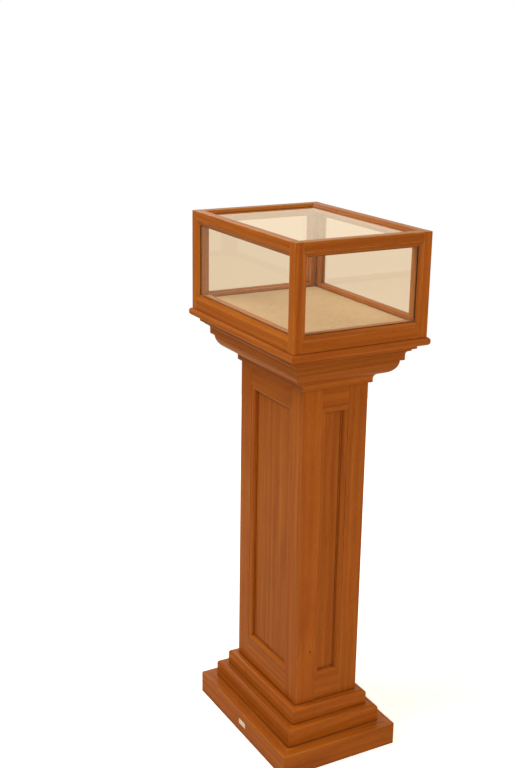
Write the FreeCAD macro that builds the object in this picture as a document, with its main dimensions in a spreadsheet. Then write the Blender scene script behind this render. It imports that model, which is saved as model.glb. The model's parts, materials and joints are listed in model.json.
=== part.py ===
import FreeCAD, Part
import math
import os
import Sketcher

# Display plinth: a panelled wooden column on a stepped base, carrying a moulded capital and a
# small glazed show case with a hinged rear door.
# Millimetres. X runs along the long side, the front faces -Y, the door faces +Y, Z is up, and the
# origin lies under the middle of the base.

DIMENSIONS = (
    # base and steps
    ("base_height", 54, "base block, top to floor"),
    ("base_projection", 68, "base block, out from the column"),
    ("base_board", 34, "thickness of the base boards"),
    ("base_deck_thickness", 12, "deck that closes the base"),
    ("base_block", 34, "side of a corner block in the base"),
    ("lower_step_height", 41, "lower step moulding"),
    ("lower_step_projection", 39.5, "lower step, out from the column"),
    ("lower_step_nose", 9, "radius of the lower step's nose"),
    ("upper_step_height", 34, "upper step moulding"),
    ("upper_step_projection", 18.5, "upper step, out from the column"),
    ("upper_step_nose", 8, "radius of the upper step's nose"),
    # column
    ("column_length", 277, "column, left to right"),
    ("column_width", 163, "column, front to back"),
    ("column_height", 913, "column, from the base deck to the capital board"),
    ("column_board", 20, "thickness of stiles and rails"),
    ("stile_width", 48, "face of a column stile"),
    ("foot_rail", 136, "height of a column's bottom rail"),
    ("head_rail", 130, "height of a column's top rail"),
    ("panel_recess", 10, "panel face behind the frame face"),
    ("panel_rebate", 8, "rebate that holds a panel"),
    ("panel_thickness", 6, "panel"),
    ("panel_clearance", 0.5, "room for a panel in its rebate, each side"),
    ("panel_moulding", 14, "width of the moulding round a panel"),
    ("panel_fillet", 1.75, "fillets of the moulding round a panel"),
    ("glue_block", 18, "side of a corner block in the column"),
    ("head_plate", 18, "plate that closes the column's head"),
    # capital
    ("necking_height", 20, "necking moulding"),
    ("necking_fillet", 8, "straight foot of the necking"),
    ("necking_projection", 7, "foot of the necking, out from the column"),
    ("necking_cove", 7, "how far the necking's cove flares"),
    ("ovolo_radius", 33, "quarter round under the cornice"),
    ("ovolo_step", 1.5, "fillets above and below the quarter round"),
    ("cornice_height", 27, "cornice moulding"),
    ("cornice_projection", 54.5, "foot of the cornice, out from the column"),
    ("cornice_fillet", 12, "straight foot of the cornice"),
    ("cornice_cove", 9.5, "radius of the cornice's cavetto"),
    ("capital_board", 11, "board above the cornice"),
    ("capital_projection", 72, "capital board, out from the column"),
    # case
    ("case_length", 456, "glazed case, left to right"),
    ("case_width", 328, "glazed case, front to back"),
    ("case_height", 224.5, "glazed case above the tray"),
    ("tray_thickness", 17.5, "tray board under the case"),
    ("tray_overhang", 6, "tray board, out from the case"),
    ("tray_nose", 7, "rounded edge of the tray board"),
    ("member", 30, "case post, overall"),
    ("member_flat", 20, "flat face of a post or top rail"),
    ("bottom_flat", 25, "flat face of a bottom rail"),
    ("bevel_depth", 5.5, "how far the moulded edge falls back"),
    ("lip", 6, "frame in front of the glass"),
    ("rebate_wall", 23, "outer face to the edge of a glass rebate"),
    ("glass", 4, "glass thickness"),
    ("glass_clearance", 0.5, "room for a pane in its rebate, each side"),
    ("bead_depth", 10, "glazing bead, through the frame"),
    ("bead_reveal", 2, "glazing bead beyond the frame's sight line"),
    ("rear_rail", 17, "height of the rear top rail"),
    ("arris", 0.8, "eased outer edges"),
    ("bead_round", 3, "rounded corner of a glazing bead"),
    # deck
    ("deck_height", 27.5, "cloth-covered deck above the tray"),
    ("deck_board", 8, "deck board"),
    ("deck_cloth", 1.2, "cloth on the deck board"),
    ("deck_clearance", 1.5, "room round the deck"),
    ("cleat_width", 18, "cleats under the deck"),
    # door
    ("door_thickness", 15, "rear door"),
    ("door_stile", 16, "door stile"),
    ("door_head", 11.5, "door top rail"),
    ("door_foot", 36.5, "door bottom rail"),
    ("door_gap", 2, "gap round the door"),
    ("door_lip", 6, "door frame behind the glass"),
    ("door_rebate", 6, "door rebate, in from the sight line"),
    ("door_glass", 3, "door pane"),
    ("stop_radius", 3.5, "round door stop"),
    ("stop_length", 4, "how far a door stop stands out"),
    ("stop_height", 36, "door stop above the deck, and below the rear rail"),
    ("stop_crown", 1.75, "rounded end of a door stop"),
    ("stop_gap", 0.3, "door stop to closed door"),
    # hinges and lock
    ("leaf", 0.9, "hinge leaf thickness"),
    ("leaf_height", 38, "hinge leaf"),
    ("leaf_width", 12, "hinge leaf, in from the rear face"),
    ("knuckle", 2.5, "hinge knuckle radius"),
    ("hinge_pin", 1.25, "hinge pin radius"),
    ("running_clearance", 0.05, "pin in knuckle and plug in barrel"),
    ("knuckle_gap", 0.3, "between knuckles, and knuckle to wood"),
    ("hinge_inset", 24, "hinge from the end of the door"),
    ("screw_inset", 6.3, "hinge screw from the end of its leaf"),
    ("screw_head", 1.6, "hinge screw head radius"),
    ("screw_slot", 0.64, "screwdriver slot"),
    ("screw_clearance", 0.1, "screw head in its hole"),
    ("lock_setback", 60, "lock from the post at the free side"),
    ("lock_height", 11.5, "lock centre above the tray"),
    ("barrel", 6, "lock barrel radius"),
    ("barrel_flange", 8.5, "lock flange radius"),
    ("flange_thickness", 1.8, "lock flange"),
    ("barrel_tail", 3, "barrel beyond the door's inner face"),
    ("plug", 4, "lock plug radius"),
    ("keyway_width", 1.3, "keyhole in the plug"),
    ("keyway_height", 4.8, "keyhole in the plug"),
    ("cam_thickness", 2, "lock cam"),
    ("cam_width", 7, "lock cam"),
    ("cam_clearance", 1, "locked cam to tray"),
    ("strike", 1.2, "strike plate thickness"),
    ("strike_length", 24, "strike plate"),
    ("strike_clearance", 0.5, "top of the strike plate to the lock barrel"),
    ("strike_foot", 9, "strike plate's foot"),
    ("strike_gap", 1, "strike to cam"),
)

OVERCUT = 2.0
LEVEL_WITHIN = 1e-6     # an edge that rises less than this is level
KNUCKLES = 5            # of one hinge, the outer ones on the case
SIDES = ("front", "right", "back", "left")
AXIS_X = FreeCAD.Vector(1, 0, 0)
AXIS_Z = FreeCAD.Vector(0, 0, 1)
UPRIGHT = FreeCAD.Rotation(AXIS_X, 90)


class Size:
    """A length together with the spreadsheet formula that gives it."""

    def __init__(self, value, formula):
        self.value = value
        self.formula = formula

    def joined(self, other, sign, value):
        return Size(value, f"({self.formula} {sign} {as_size(other).formula})")

    def __add__(self, other):
        return self.joined(other, "+", self.value + as_size(other).value)

    def __sub__(self, other):
        return self.joined(other, "-", self.value - as_size(other).value)

    def __mul__(self, other):
        return self.joined(other, "*", self.value * as_size(other).value)

    def __truediv__(self, other):
        return self.joined(other, "/", self.value / as_size(other).value)

    def __radd__(self, other):
        return as_size(other) + self

    def __rsub__(self, other):
        return as_size(other) - self

    def __rmul__(self, other):
        return as_size(other) * self

    def __neg__(self):
        return -1 * self


def as_size(number):
    if isinstance(number, Size):
        return number
    return Size(float(number), f"({float(number)})")


# ---------------------------------------------------------------- the document and its sheet

doc = FreeCAD.newDocument("display_plinth")
sheet = doc.addObject("Spreadsheet::Sheet", "dims")


class Dimensions:
    """The driving dimensions, one attribute for each row of the sheet."""

    def __init__(self):
        for row, (alias, value, meaning) in enumerate(DIMENSIONS, start=1):
            sheet.set(f"A{row}", alias)
            sheet.set(f"B{row}", str(value))
            sheet.setAlias(f"B{row}", alias)
            sheet.set(f"C{row}", meaning)
            setattr(self, alias, Size(float(value), f"dims.{alias}"))


D = Dimensions()
doc.recompute()

# Levels, from the floor up
COLUMN_FOOT = D.base_height
LOWER_STEP_TOP = COLUMN_FOOT + D.lower_step_height
COLUMN_TOP = COLUMN_FOOT + D.column_height
CORNICE_FOOT = COLUMN_TOP - D.cornice_height
OVOLO_HEIGHT = D.ovolo_radius + 2 * D.ovolo_step
OVOLO_FOOT = CORNICE_FOOT - OVOLO_HEIGHT
NECKING_FOOT = OVOLO_FOOT - D.necking_height
TRAY_FOOT = COLUMN_TOP + D.capital_board
TRAY_TOP = TRAY_FOOT + D.tray_thickness
CASE_TOP = TRAY_TOP + D.case_height
DECK_TOP = TRAY_TOP + D.deck_height
DECK_FOOT = DECK_TOP - D.deck_cloth - D.deck_board

# Halves
COLUMN_X = D.column_length / 2
COLUMN_Y = D.column_width / 2
CASE_X = D.case_length / 2
CASE_Y = D.case_width / 2
REVEAL_X = CASE_X - D.member
REVEAL_Y = CASE_Y - D.member

# The case frame's section: lip, pane and bead, then the inner part of the member
BEVEL = D.member - D.member_flat
BEAD_BACK = D.lip + D.glass + D.bead_depth
BOTTOM_RAIL = D.bottom_flat + BEVEL
REBATE = D.member - D.rebate_wall
BEAD_WIDTH = REBATE + D.bead_reveal

# The door
DOOR_BACK = CASE_Y
DOOR_FRONT = CASE_Y - D.door_thickness
DOOR_X = REVEAL_X - D.door_gap
DOOR_FOOT = TRAY_TOP + D.door_gap
DOOR_TOP = CASE_TOP - D.rear_rail - D.door_gap
DOOR_PANE_FRONT = DOOR_BACK - D.door_lip - D.door_glass

# The hinge line and the lock
HINGE_X = REVEAL_X - D.door_gap / 2
HINGE_Y = CASE_Y + D.knuckle_gap + D.knuckle
LOCK_X = D.lock_setback - REVEAL_X
LOCK_Z = TRAY_TOP + D.lock_height
CAM_BACK = DOOR_FRONT - D.barrel_tail
CAM_FRONT = CAM_BACK - D.cam_thickness


# ---------------------------------------------------------------- drawing helpers

def point_of(corner):
    return FreeCAD.Vector(as_size(corner[0]).value, as_size(corner[1]).value, 0)


def edge_between(start, corner):
    """The line or arc that ends at corner, with the numbers of its start and end points."""
    end = point_of(corner)
    if len(corner) == 2:
        return Part.LineSegment(start, end), (1, 2)
    centre = point_of(corner[2])
    first = math.atan2(start.y - centre.y, start.x - centre.x)
    last = math.atan2(end.y - centre.y, end.x - centre.x)
    anticlockwise = (last - first) % (2 * math.pi) < math.pi
    if not anticlockwise:
        first, last = last, first
    circle = Part.Circle(centre, AXIS_Z, (start - centre).Length)
    arc = Part.ArcOfCircle(circle, first, first + (last - first) % (2 * math.pi))
    return arc, (1, 2) if anticlockwise else (2, 1)


def draw_outline(sketch, corners):
    """A closed outline. A corner is (a, b), or (a, b, centre) where an arc leads to it."""
    base = sketch.GeometryCount
    count = len(corners)
    ends = []
    for number, corner in enumerate(corners):
        geometry, order = edge_between(point_of(corners[number - 1]), corner)
        sketch.addGeometry(geometry, False)
        ends.append(order)
    constraints = []
    formulas = []
    for number, corner in enumerate(corners):
        edge = base + number
        following = (number + 1) % count
        constraints.append(Sketcher.Constraint(
            "Coincident", edge, ends[number][1], base + following, ends[following][0]))
        formulas.append(None)
        bound = [("DistanceX", ends[number][1], corner[0]), ("DistanceY", ends[number][1], corner[1])]
        if len(corner) == 3:
            bound.append(("DistanceX", 3, corner[2][0]))
        for kind, position, size in bound:
            size = as_size(size)
            constraints.append(Sketcher.Constraint(kind, -1, 1, edge, position, size.value))
            formulas.append(size.formula)
    for index, formula in zip(sketch.addConstraint(constraints), formulas):
        if formula:
            sketch.setExpression(f"Constraints[{index}]", formula)


def draw_circle(sketch, centre_a, centre_b, radius):
    centre = point_of((centre_a, centre_b))
    circle = sketch.addGeometry(Part.Circle(centre, AXIS_Z, as_size(radius).value), False)
    for kind, size in (("DistanceX", centre_a), ("DistanceY", centre_b)):
        size = as_size(size)
        index = sketch.addConstraint(Sketcher.Constraint(kind, -1, 1, circle, 3, size.value))
        sketch.setExpression(f"Constraints[{index}]", size.formula)
    index = sketch.addConstraint(Sketcher.Constraint("Radius", circle, as_size(radius).value))
    sketch.setExpression(f"Constraints[{index}]", as_size(radius).formula)


def new_body(label):
    body = doc.addObject("PartDesign::Body", label)
    body.Label = label
    return body


def new_sketch(body, role, offset):
    plane = next(item for item in body.Origin.OriginFeatures if item.Role == role)
    sketch = body.newObject("Sketcher::SketchObject", body.Name + "_sketch")
    sketch.AttachmentSupport = [(plane, "")]
    sketch.MapMode = "FlatFace"
    sketch.setExpression("AttachmentOffset.Base.z", as_size(offset).formula)
    return sketch


def prism(body, role, low, high, outlines=(), circles=(), cut=False):
    """Add or cut a prism between two levels on the axis that the plane is square to.

    The XZ plane faces -Y, so offsets and directions on it run the other way.
    """
    low = as_size(low)
    high = as_size(high)
    start = high if cut != (role == "XZ_Plane") else low
    sketch = new_sketch(body, role, -start if role == "XZ_Plane" else start)
    for corners in outlines:
        draw_outline(sketch, corners)
    for circle in circles:
        draw_circle(sketch, *circle)
    kind = "PartDesign::Pocket" if cut else "PartDesign::Pad"
    feature = body.newObject(kind, body.Name + ("_cut" if cut else "_pad"))
    feature.Profile = sketch
    feature.setExpression("Length", (high - low).formula)
    body.Tip = feature
    return feature


def place(thing, x=0, y=0, z=0, rotation=None):
    thing.Placement = FreeCAD.Placement(FreeCAD.Vector(), rotation or FreeCAD.Rotation())
    for axis, size in (("x", x), ("y", y), ("z", z)):
        thing.setExpression(f"Placement.Base.{axis}", as_size(size).formula)
    return thing


def box(label, x, y, z):
    """A plain board between two levels on each axis."""
    board = doc.addObject("Part::Box", label)
    board.Label = label
    for name, (low, high) in (("Length", x), ("Width", y), ("Height", z)):
        board.setExpression(name, (as_size(high) - as_size(low)).formula)
    return place(board, x[0], y[0], z[0])


def rectangle(a, b):
    return [(a[0], b[0]), (a[1], b[0]), (a[1], b[1]), (a[0], b[1])]


def mirrored(low, high):
    return -1 * as_size(high), -1 * as_size(low)


nodes = []


def node(thing):
    nodes.append(thing)
    return thing


def group(label, members):
    """Several separate solids that share one node."""
    compound = doc.addObject("Part::Compound", label)
    compound.Label = label
    compound.Links = members
    return node(compound)


def turned(side):
    return FreeCAD.Rotation(AXIS_Z, 90 * SIDES.index(side))


# ---------------------------------------------------------------- mitred lengths

def mitred_length(label, side, half_x, half_y, width, section, x=0, y=0, z=0, tilt=None):
    """One length of a four-sided mitred frame that lies flat round its own centre.

    The section's corners are (inset from the outer edge, height). The frame's own outline is
    2 half_x by 2 half_y, and tilt turns it out of the flat.
    """
    run, across = (half_x, half_y) if side in ("front", "back") else (half_y, half_x)
    body = new_body(label)
    corners = []
    for corner in section:
        moved = [corner[0] - across, corner[1]]
        if len(corner) == 3:
            moved.append((corner[2][0] - across, corner[2][1]))
        corners.append(tuple(moved))
    prism(body, "YZ_Plane", -run, run, [corners])
    heights = sorted((as_size(corner[1]) for corner in section), key=lambda size: size.value)
    wedges = []
    for sign in (-1, 1):
        wedges.append([
            (sign * (run + OVERCUT), -across - OVERCUT),
            (sign * (run + OVERCUT), width - across + OVERCUT),
            (sign * (run - width - OVERCUT), width - across + OVERCUT)])
    prism(body, "XY_Plane", heights[0] - OVERCUT, heights[-1] + OVERCUT, wedges, cut=True)
    rotation = turned(side) if tilt is None else tilt.multiply(turned(side))
    return place(body, x, y, z, rotation)


def mitred_frame(label, **shape):
    """Four mitred lengths, in the order of SIDES."""
    return [mitred_length(f"{label}_{side}", side, **shape) for side in SIDES]


def long_and_short(label, lengths):
    group(f"{label}_long", [lengths[0], lengths[2]])
    group(f"{label}_short", [lengths[1], lengths[3]])


# ---------------------------------------------------------------- base and steps

def make_base():
    outer_x = COLUMN_X + D.base_projection
    outer_y = COLUMN_Y + D.base_projection
    section = [(0, 0), (0, D.base_height - D.arris), (D.arris, D.base_height),
               (D.base_board, D.base_height), (D.base_board, 0)]
    long_and_short("base_boards", mitred_frame(
        "base_board", half_x=outer_x, half_y=outer_y, width=D.base_board, section=section))
    inner_x = outer_x - D.base_board
    inner_y = outer_y - D.base_board
    deck_foot = D.base_height - D.base_deck_thickness
    blocks = []
    for name, x in (("left", mirrored(inner_x - D.base_block, inner_x)),
                    ("right", (inner_x - D.base_block, inner_x))):
        for end, y in (("front", mirrored(inner_y - D.base_block, inner_y)),
                       ("back", (inner_y - D.base_block, inner_y))):
            blocks.append(box(f"base_block_{end}_{name}", x, y, (0, deck_foot)))
    group("base_corner_blocks", blocks)
    node(box("base_deck", (-inner_x, inner_x), (-inner_y, inner_y), (deck_foot, D.base_height)))


def make_step(label, projection, height, nose, foot):
    """A step moulding: square foot, rounded nose, flat top."""
    section = [(0, 0), (0, height - nose), (nose, height, (nose, height - nose)),
               (projection, height), (projection, 0)]
    long_and_short(label, mitred_frame(
        label, half_x=COLUMN_X + projection, half_y=COLUMN_Y + projection, width=projection,
        section=section, z=foot))


# ---------------------------------------------------------------- column

def face_offset(side):
    """Where the middle of a column face lies in plan."""
    return {"front": (0, -COLUMN_Y), "right": (COLUMN_X, 0),
            "back": (0, COLUMN_Y), "left": (-COLUMN_X, 0)}[side]


def make_column_face(side):
    """Mitred stiles, recessed panel and panel moulding of one face. Returns the face's rails."""
    run, across = (COLUMN_X, COLUMN_Y) if side in ("front", "back") else (COLUMN_Y, COLUMN_X)
    opening = run - D.stile_width
    opening_foot = COLUMN_FOOT + D.foot_rail
    opening_top = COLUMN_TOP - D.head_rail
    inner = D.panel_rebate - D.stile_width
    stile = [(0, 0), (D.stile_width, 0), (D.stile_width, D.panel_recess),
             (-inner, D.panel_recess), (-inner, D.column_board),
             (D.column_board, D.column_board)]
    stiles = []
    for sign, hand in ((-1, "left"), (1, "right")):
        body = new_body(f"column_stile_{side}_{hand}")
        corners = [(sign * (run - a), b - across) for a, b in stile]
        prism(body, "XY_Plane", COLUMN_FOOT, COLUMN_TOP, [corners])
        stiles.append(place(body, rotation=turned(side)))
    group(f"column_stiles_{side}", stiles)

    rails = []
    for name, outer, sight, sign in (("foot", COLUMN_FOOT, opening_foot, 1),
                                     ("head", COLUMN_TOP, opening_top, -1)):
        rebate = sight - sign * D.panel_rebate
        corners = [(-across, outer), (-across, sight), (D.panel_recess - across, sight),
                   (D.panel_recess - across, rebate), (D.column_board - across, rebate),
                   (D.column_board - across, outer)]
        body = new_body(f"column_rail_{side}_{name}")
        prism(body, "YZ_Plane", -opening, opening, [corners])
        rails.append(place(body, rotation=turned(side)))

    panel = new_body(f"column_panel_{side}")
    reach = D.panel_rebate - D.panel_clearance
    prism(panel, "XZ_Plane", D.panel_recess - across, D.panel_recess + D.panel_thickness - across,
          [rectangle((-opening - reach, opening + reach), (opening_foot - reach, opening_top + reach))])
    node(place(panel, rotation=turned(side)))

    bottom = -1 * D.panel_recess
    top = -1 * D.arris
    fillet = D.panel_fillet
    section = ovolo_section(D.panel_moulding, top, bottom, fillet)
    x, y = face_offset(side)
    lengths = mitred_frame(
        f"panel_moulding_{side}", half_x=opening, half_y=(opening_top - opening_foot) / 2,
        width=D.panel_moulding, section=section,
        x=x, y=y, z=(opening_top + opening_foot) / 2, tilt=turned(side).multiply(UPRIGHT))
    group(f"panel_moulding_{side}", lengths)
    return rails


def ovolo_section(width, top, bottom, fillet):
    """A quarter round that falls from the frame's edge to the panel, with a fillet each end."""
    radius = top - bottom - fillet
    return [(0, bottom), (0, top), (width - fillet - radius, top),
            (width - fillet, bottom + fillet, (width - fillet - radius, bottom + fillet)),
            (width, bottom + fillet), (width, bottom)]


def make_column():
    rails = {side: make_column_face(side) for side in SIDES}
    group("column_rails_long", rails["front"] + rails["back"])
    group("column_rails_short", rails["right"] + rails["left"])
    inner_x = COLUMN_X - D.column_board
    inner_y = COLUMN_Y - D.column_board
    plate_foot = COLUMN_TOP - D.head_plate
    blocks = []
    for name, x in (("left", mirrored(inner_x - D.glue_block, inner_x)),
                    ("right", (inner_x - D.glue_block, inner_x))):
        for end, y in (("front", mirrored(inner_y - D.glue_block, inner_y)),
                       ("back", (inner_y - D.glue_block, inner_y))):
            blocks.append(box(f"glue_block_{end}_{name}", x, y, (COLUMN_FOOT, plate_foot)))
    group("column_corner_blocks", blocks)
    node(box("column_head_plate", (-inner_x, inner_x), (-inner_y, inner_y), (plate_foot, COLUMN_TOP)))


# ---------------------------------------------------------------- capital and tray

def make_capital():
    """Necking, quarter round and cornice, each a mitred frame against the column."""
    foot_out = D.necking_projection
    necking_out = foot_out + D.necking_cove
    rise = D.necking_height
    # The cove's ends lie on a circle whose centre is level with its foot
    height = rise - D.necking_fillet
    cove_radius = (D.necking_cove * D.necking_cove + height * height) / (2 * D.necking_cove)
    necking = [(D.necking_cove, 0), (D.necking_cove, D.necking_fillet),
               (0, rise, (D.necking_cove - cove_radius, D.necking_fillet)),
               (necking_out, rise), (necking_out, 0)]
    lengths = mitred_frame(
        "necking_moulding", half_x=COLUMN_X + necking_out, half_y=COLUMN_Y + necking_out,
        width=necking_out, section=necking, z=NECKING_FOOT)
    group("necking_moulding", lengths)

    radius = D.ovolo_radius
    ovolo_out = necking_out + radius
    ovolo = [(radius, 0), (radius, D.ovolo_step),
             (0, D.ovolo_step + radius, (radius, D.ovolo_step + radius)),
             (0, OVOLO_HEIGHT), (ovolo_out, OVOLO_HEIGHT), (ovolo_out, 0)]
    long_and_short("ovolo_moulding", mitred_frame(
        "ovolo_moulding", half_x=COLUMN_X + ovolo_out, half_y=COLUMN_Y + ovolo_out,
        width=ovolo_out, section=ovolo, z=OVOLO_FOOT))

    cove = D.cornice_cove
    cornice_out = D.cornice_projection + cove
    cornice = [(cove, 0), (cove, D.cornice_fillet),
               (0, D.cornice_fillet + cove, (0, D.cornice_fillet)),
               (0, D.cornice_height), (cornice_out, D.cornice_height), (cornice_out, 0)]
    long_and_short("cornice_moulding", mitred_frame(
        "cornice_moulding", half_x=COLUMN_X + cornice_out, half_y=COLUMN_Y + cornice_out,
        width=cornice_out, section=cornice, z=CORNICE_FOOT))

    board_x = COLUMN_X + D.capital_projection
    board_y = COLUMN_Y + D.capital_projection
    node(box("capital_board", (-board_x, board_x), (-board_y, board_y), (COLUMN_TOP, TRAY_FOOT)))


def make_tray():
    """The tray board, with a rounded nose on all four edges."""
    tray_x = CASE_X + D.tray_overhang
    tray_y = CASE_Y + D.tray_overhang
    body = new_body("tray_board")
    pad = prism(body, "XY_Plane", TRAY_FOOT, TRAY_TOP,
                [rectangle((-tray_x, tray_x), (-tray_y, tray_y))])
    doc.recompute()
    level = [f"Edge{number}" for number, edge in enumerate(pad.Shape.Edges, start=1)
             if edge.BoundBox.ZLength < LEVEL_WITHIN]
    nose = body.newObject("PartDesign::Fillet", "tray_nose")
    nose.Base = (pad, level)
    nose.setExpression("Radius", D.tray_nose.formula)
    body.Tip = nose
    node(body)


# ---------------------------------------------------------------- glazed case

def both_ways(corners):
    """The second half of a section that is the same seen from either face."""
    return [(b, a) for a, b in reversed(corners)]


def glazed_half():
    """Half of a section that holds a pane on two faces: flat, moulded edge, rebate, inner part."""
    return [(D.member_flat, 0), (D.member, D.bevel_depth), (D.member, D.lip),
            (D.rebate_wall, D.lip), (D.rebate_wall, BEAD_BACK), (D.member, BEAD_BACK)]


def eased_corner():
    return [(0, D.arris), (D.arris, 0)]


def front_section():
    half = glazed_half()
    return eased_corner() + half + [(D.member, D.member)] + both_ways(half)


def rear_section():
    """A rear post's section: plain towards the door, glazed towards the side."""
    return (eased_corner() + [(D.member, 0), (D.member, D.member)] + both_ways(glazed_half()))


def notch(level, direction, flat):
    """Elevation of the moulded edge that a rail takes from a post's skin."""
    sight = level + direction * (flat + BEVEL)
    return [(D.member_flat, level - direction * OVERCUT), (D.member_flat, level + direction * flat),
            (D.member, sight), (D.member + OVERCUT, sight),
            (D.member + OVERCUT, level - direction * OVERCUT)]


def make_post(label, sign_x, sign_y, section, glazed_front):
    """A case post. Distances in its section run in from the outer corner."""
    def plan(corners):
        return [(sign_x * (CASE_X - a), sign_y * (CASE_Y - b)) for a, b in corners]

    body = new_body(label)
    prism(body, "XY_Plane", TRAY_TOP, CASE_TOP, [plan(section)])
    notches = [notch(TRAY_TOP, 1, D.bottom_flat), notch(CASE_TOP, -1, D.member_flat)]
    side_skin = (CASE_X - D.lip, CASE_X + OVERCUT)
    side_skin = side_skin if sign_x > 0 else mirrored(*side_skin)
    prism(body, "YZ_Plane", *side_skin, cut=True, outlines=[
        [(sign_y * (CASE_Y - a), level) for a, level in corners] for corners in notches])
    if glazed_front:
        front_skin = mirrored(CASE_Y - D.lip, CASE_Y + OVERCUT)
        prism(body, "XZ_Plane", *front_skin, cut=True, outlines=[
            [(sign_x * (CASE_X - a), level) for a, level in corners] for corners in notches])
    far = D.member + OVERCUT

    def cut_above(level, corners):
        prism(body, "XY_Plane", level, CASE_TOP + OVERCUT, [plan(corners)], cut=True)

    def beyond(keep):
        """Everything outside a square of the given side."""
        return [(keep, -OVERCUT), (far, -OVERCUT), (far, far), (-OVERCUT, far),
                (-OVERCUT, keep), (keep, keep)]

    if glazed_front:
        cut_above(CASE_TOP - BEAD_BACK, beyond(D.rebate_wall))
    else:
        # towards the door the post stays whole up to the rear rail, which laps over it
        cut_above(CASE_TOP - BEAD_BACK, rectangle((-OVERCUT, far), (D.rebate_wall, far)))
        cut_above(CASE_TOP - D.rear_rail, rectangle((D.member_flat, far), (-OVERCUT, far)))
    cut_above(CASE_TOP - D.lip, beyond(D.member_flat))
    return node(body)


def rail_ends(body, run, across, skin):
    """Shorten the parts of a rail that meet a post's core and inner corner.

    The rail runs along X with its outer face at y = -across, and skin gives the two levels
    between which the cut is made.
    """
    core = run - D.rebate_wall
    inner = run - D.member
    steps = [(run, D.lip - across), (core, D.lip - across), (core, BEAD_BACK - across),
             (inner, BEAD_BACK - across), (inner, D.member + OVERCUT - across),
             (run, D.member + OVERCUT - across)]
    outlines = [[(sign * a, b) for a, b in steps] for sign in (-1, 1)]
    prism(body, "XY_Plane", *skin, outlines=outlines, cut=True)


def make_bottom_rail(side):
    run, across = (CASE_X, CASE_Y) if side == "front" else (CASE_Y, CASE_X)
    flat = D.bottom_flat
    section = [(0, 0), (0, flat), (D.bevel_depth, BOTTOM_RAIL), (D.lip, BOTTOM_RAIL),
               (D.lip, BOTTOM_RAIL - REBATE), (BEAD_BACK, BOTTOM_RAIL - REBATE),
               (BEAD_BACK, BOTTOM_RAIL), (D.member, BOTTOM_RAIL), (D.member, 0)]
    body = new_body(f"case_bottom_rail_{side}")
    length = run - D.member_flat
    prism(body, "YZ_Plane", -length, length, [[(a - across, b) for a, b in section]])
    rail_ends(body, run, across, (-OVERCUT, BOTTOM_RAIL + OVERCUT))
    mitre = [(run - D.member_flat + OVERCUT, flat - OVERCUT),
             (run - D.member - OVERCUT, BOTTOM_RAIL + OVERCUT),
             (run - D.member_flat + OVERCUT, BOTTOM_RAIL + OVERCUT)]
    prism(body, "XZ_Plane", -across - OVERCUT, D.lip - across, cut=True,
          outlines=[[(sign * a, b) for a, b in mitre] for sign in (-1, 1)])
    return place(body, z=TRAY_TOP, rotation=turned(side))


def make_top_rail(side):
    """A top rail: the posts' section laid down, jack-mitred on its outer and top faces."""
    run, across = (CASE_X, CASE_Y) if side == "front" else (CASE_Y, CASE_X)
    body = new_body(f"case_top_rail_{side}")
    length = run - D.member_flat
    prism(body, "YZ_Plane", -length, length, [[(a - across, -1 * b) for a, b in front_section()]])
    rail_ends(body, run, across, (-D.member - OVERCUT, -D.lip))
    flat = run - D.member_flat + OVERCUT
    inner = run - D.member - OVERCUT
    outer_mitre = [(flat, OVERCUT - D.member_flat), (inner, -D.member - OVERCUT),
                   (flat, -D.member - OVERCUT)]
    prism(body, "XZ_Plane", -across - OVERCUT, D.lip - across, cut=True,
          outlines=[[(sign * a, b) for a, b in outer_mitre] for sign in (-1, 1)])
    top_mitre = [(flat, D.member_flat - across - OVERCUT), (inner, D.member - across + OVERCUT),
                 (flat, D.member - across + OVERCUT)]
    prism(body, "XY_Plane", -D.lip, OVERCUT, cut=True,
          outlines=[[(sign * a, b) for a, b in top_mitre] for sign in (-1, 1)])
    return place(body, z=CASE_TOP, rotation=turned(side))


def make_rear_rail():
    """The rear top rail, shallow enough for the door to close under it."""
    run, across = CASE_X, CASE_Y
    section = eased_corner() + [
        (D.member_flat, 0), (D.member, D.bevel_depth), (D.member, D.lip),
        (D.rebate_wall, D.lip), (D.rebate_wall, D.rear_rail), (0, D.rear_rail)]
    body = new_body("case_top_rail_back")
    length = run - D.member_flat
    prism(body, "YZ_Plane", -length, length, [[(a - across, -1 * b) for a, b in section]])
    top_mitre = [(run - D.member_flat + OVERCUT, D.member_flat - across - OVERCUT),
                 (run - D.member - OVERCUT, D.member - across + OVERCUT),
                 (run - D.member_flat + OVERCUT, D.member - across + OVERCUT)]
    prism(body, "XY_Plane", -D.lip, OVERCUT, cut=True,
          outlines=[[(sign * a, b) for a, b in top_mitre] for sign in (-1, 1)])
    return node(place(body, z=CASE_TOP, rotation=turned("back")))


def bead_section(width, depth):
    """A glazing bead, its inner corner rounded."""
    round_over = D.bead_round
    return [(0, 0), (0, depth), (width - round_over, depth),
            (width, depth - round_over, (width - round_over, depth - round_over)), (width, 0)]


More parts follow.
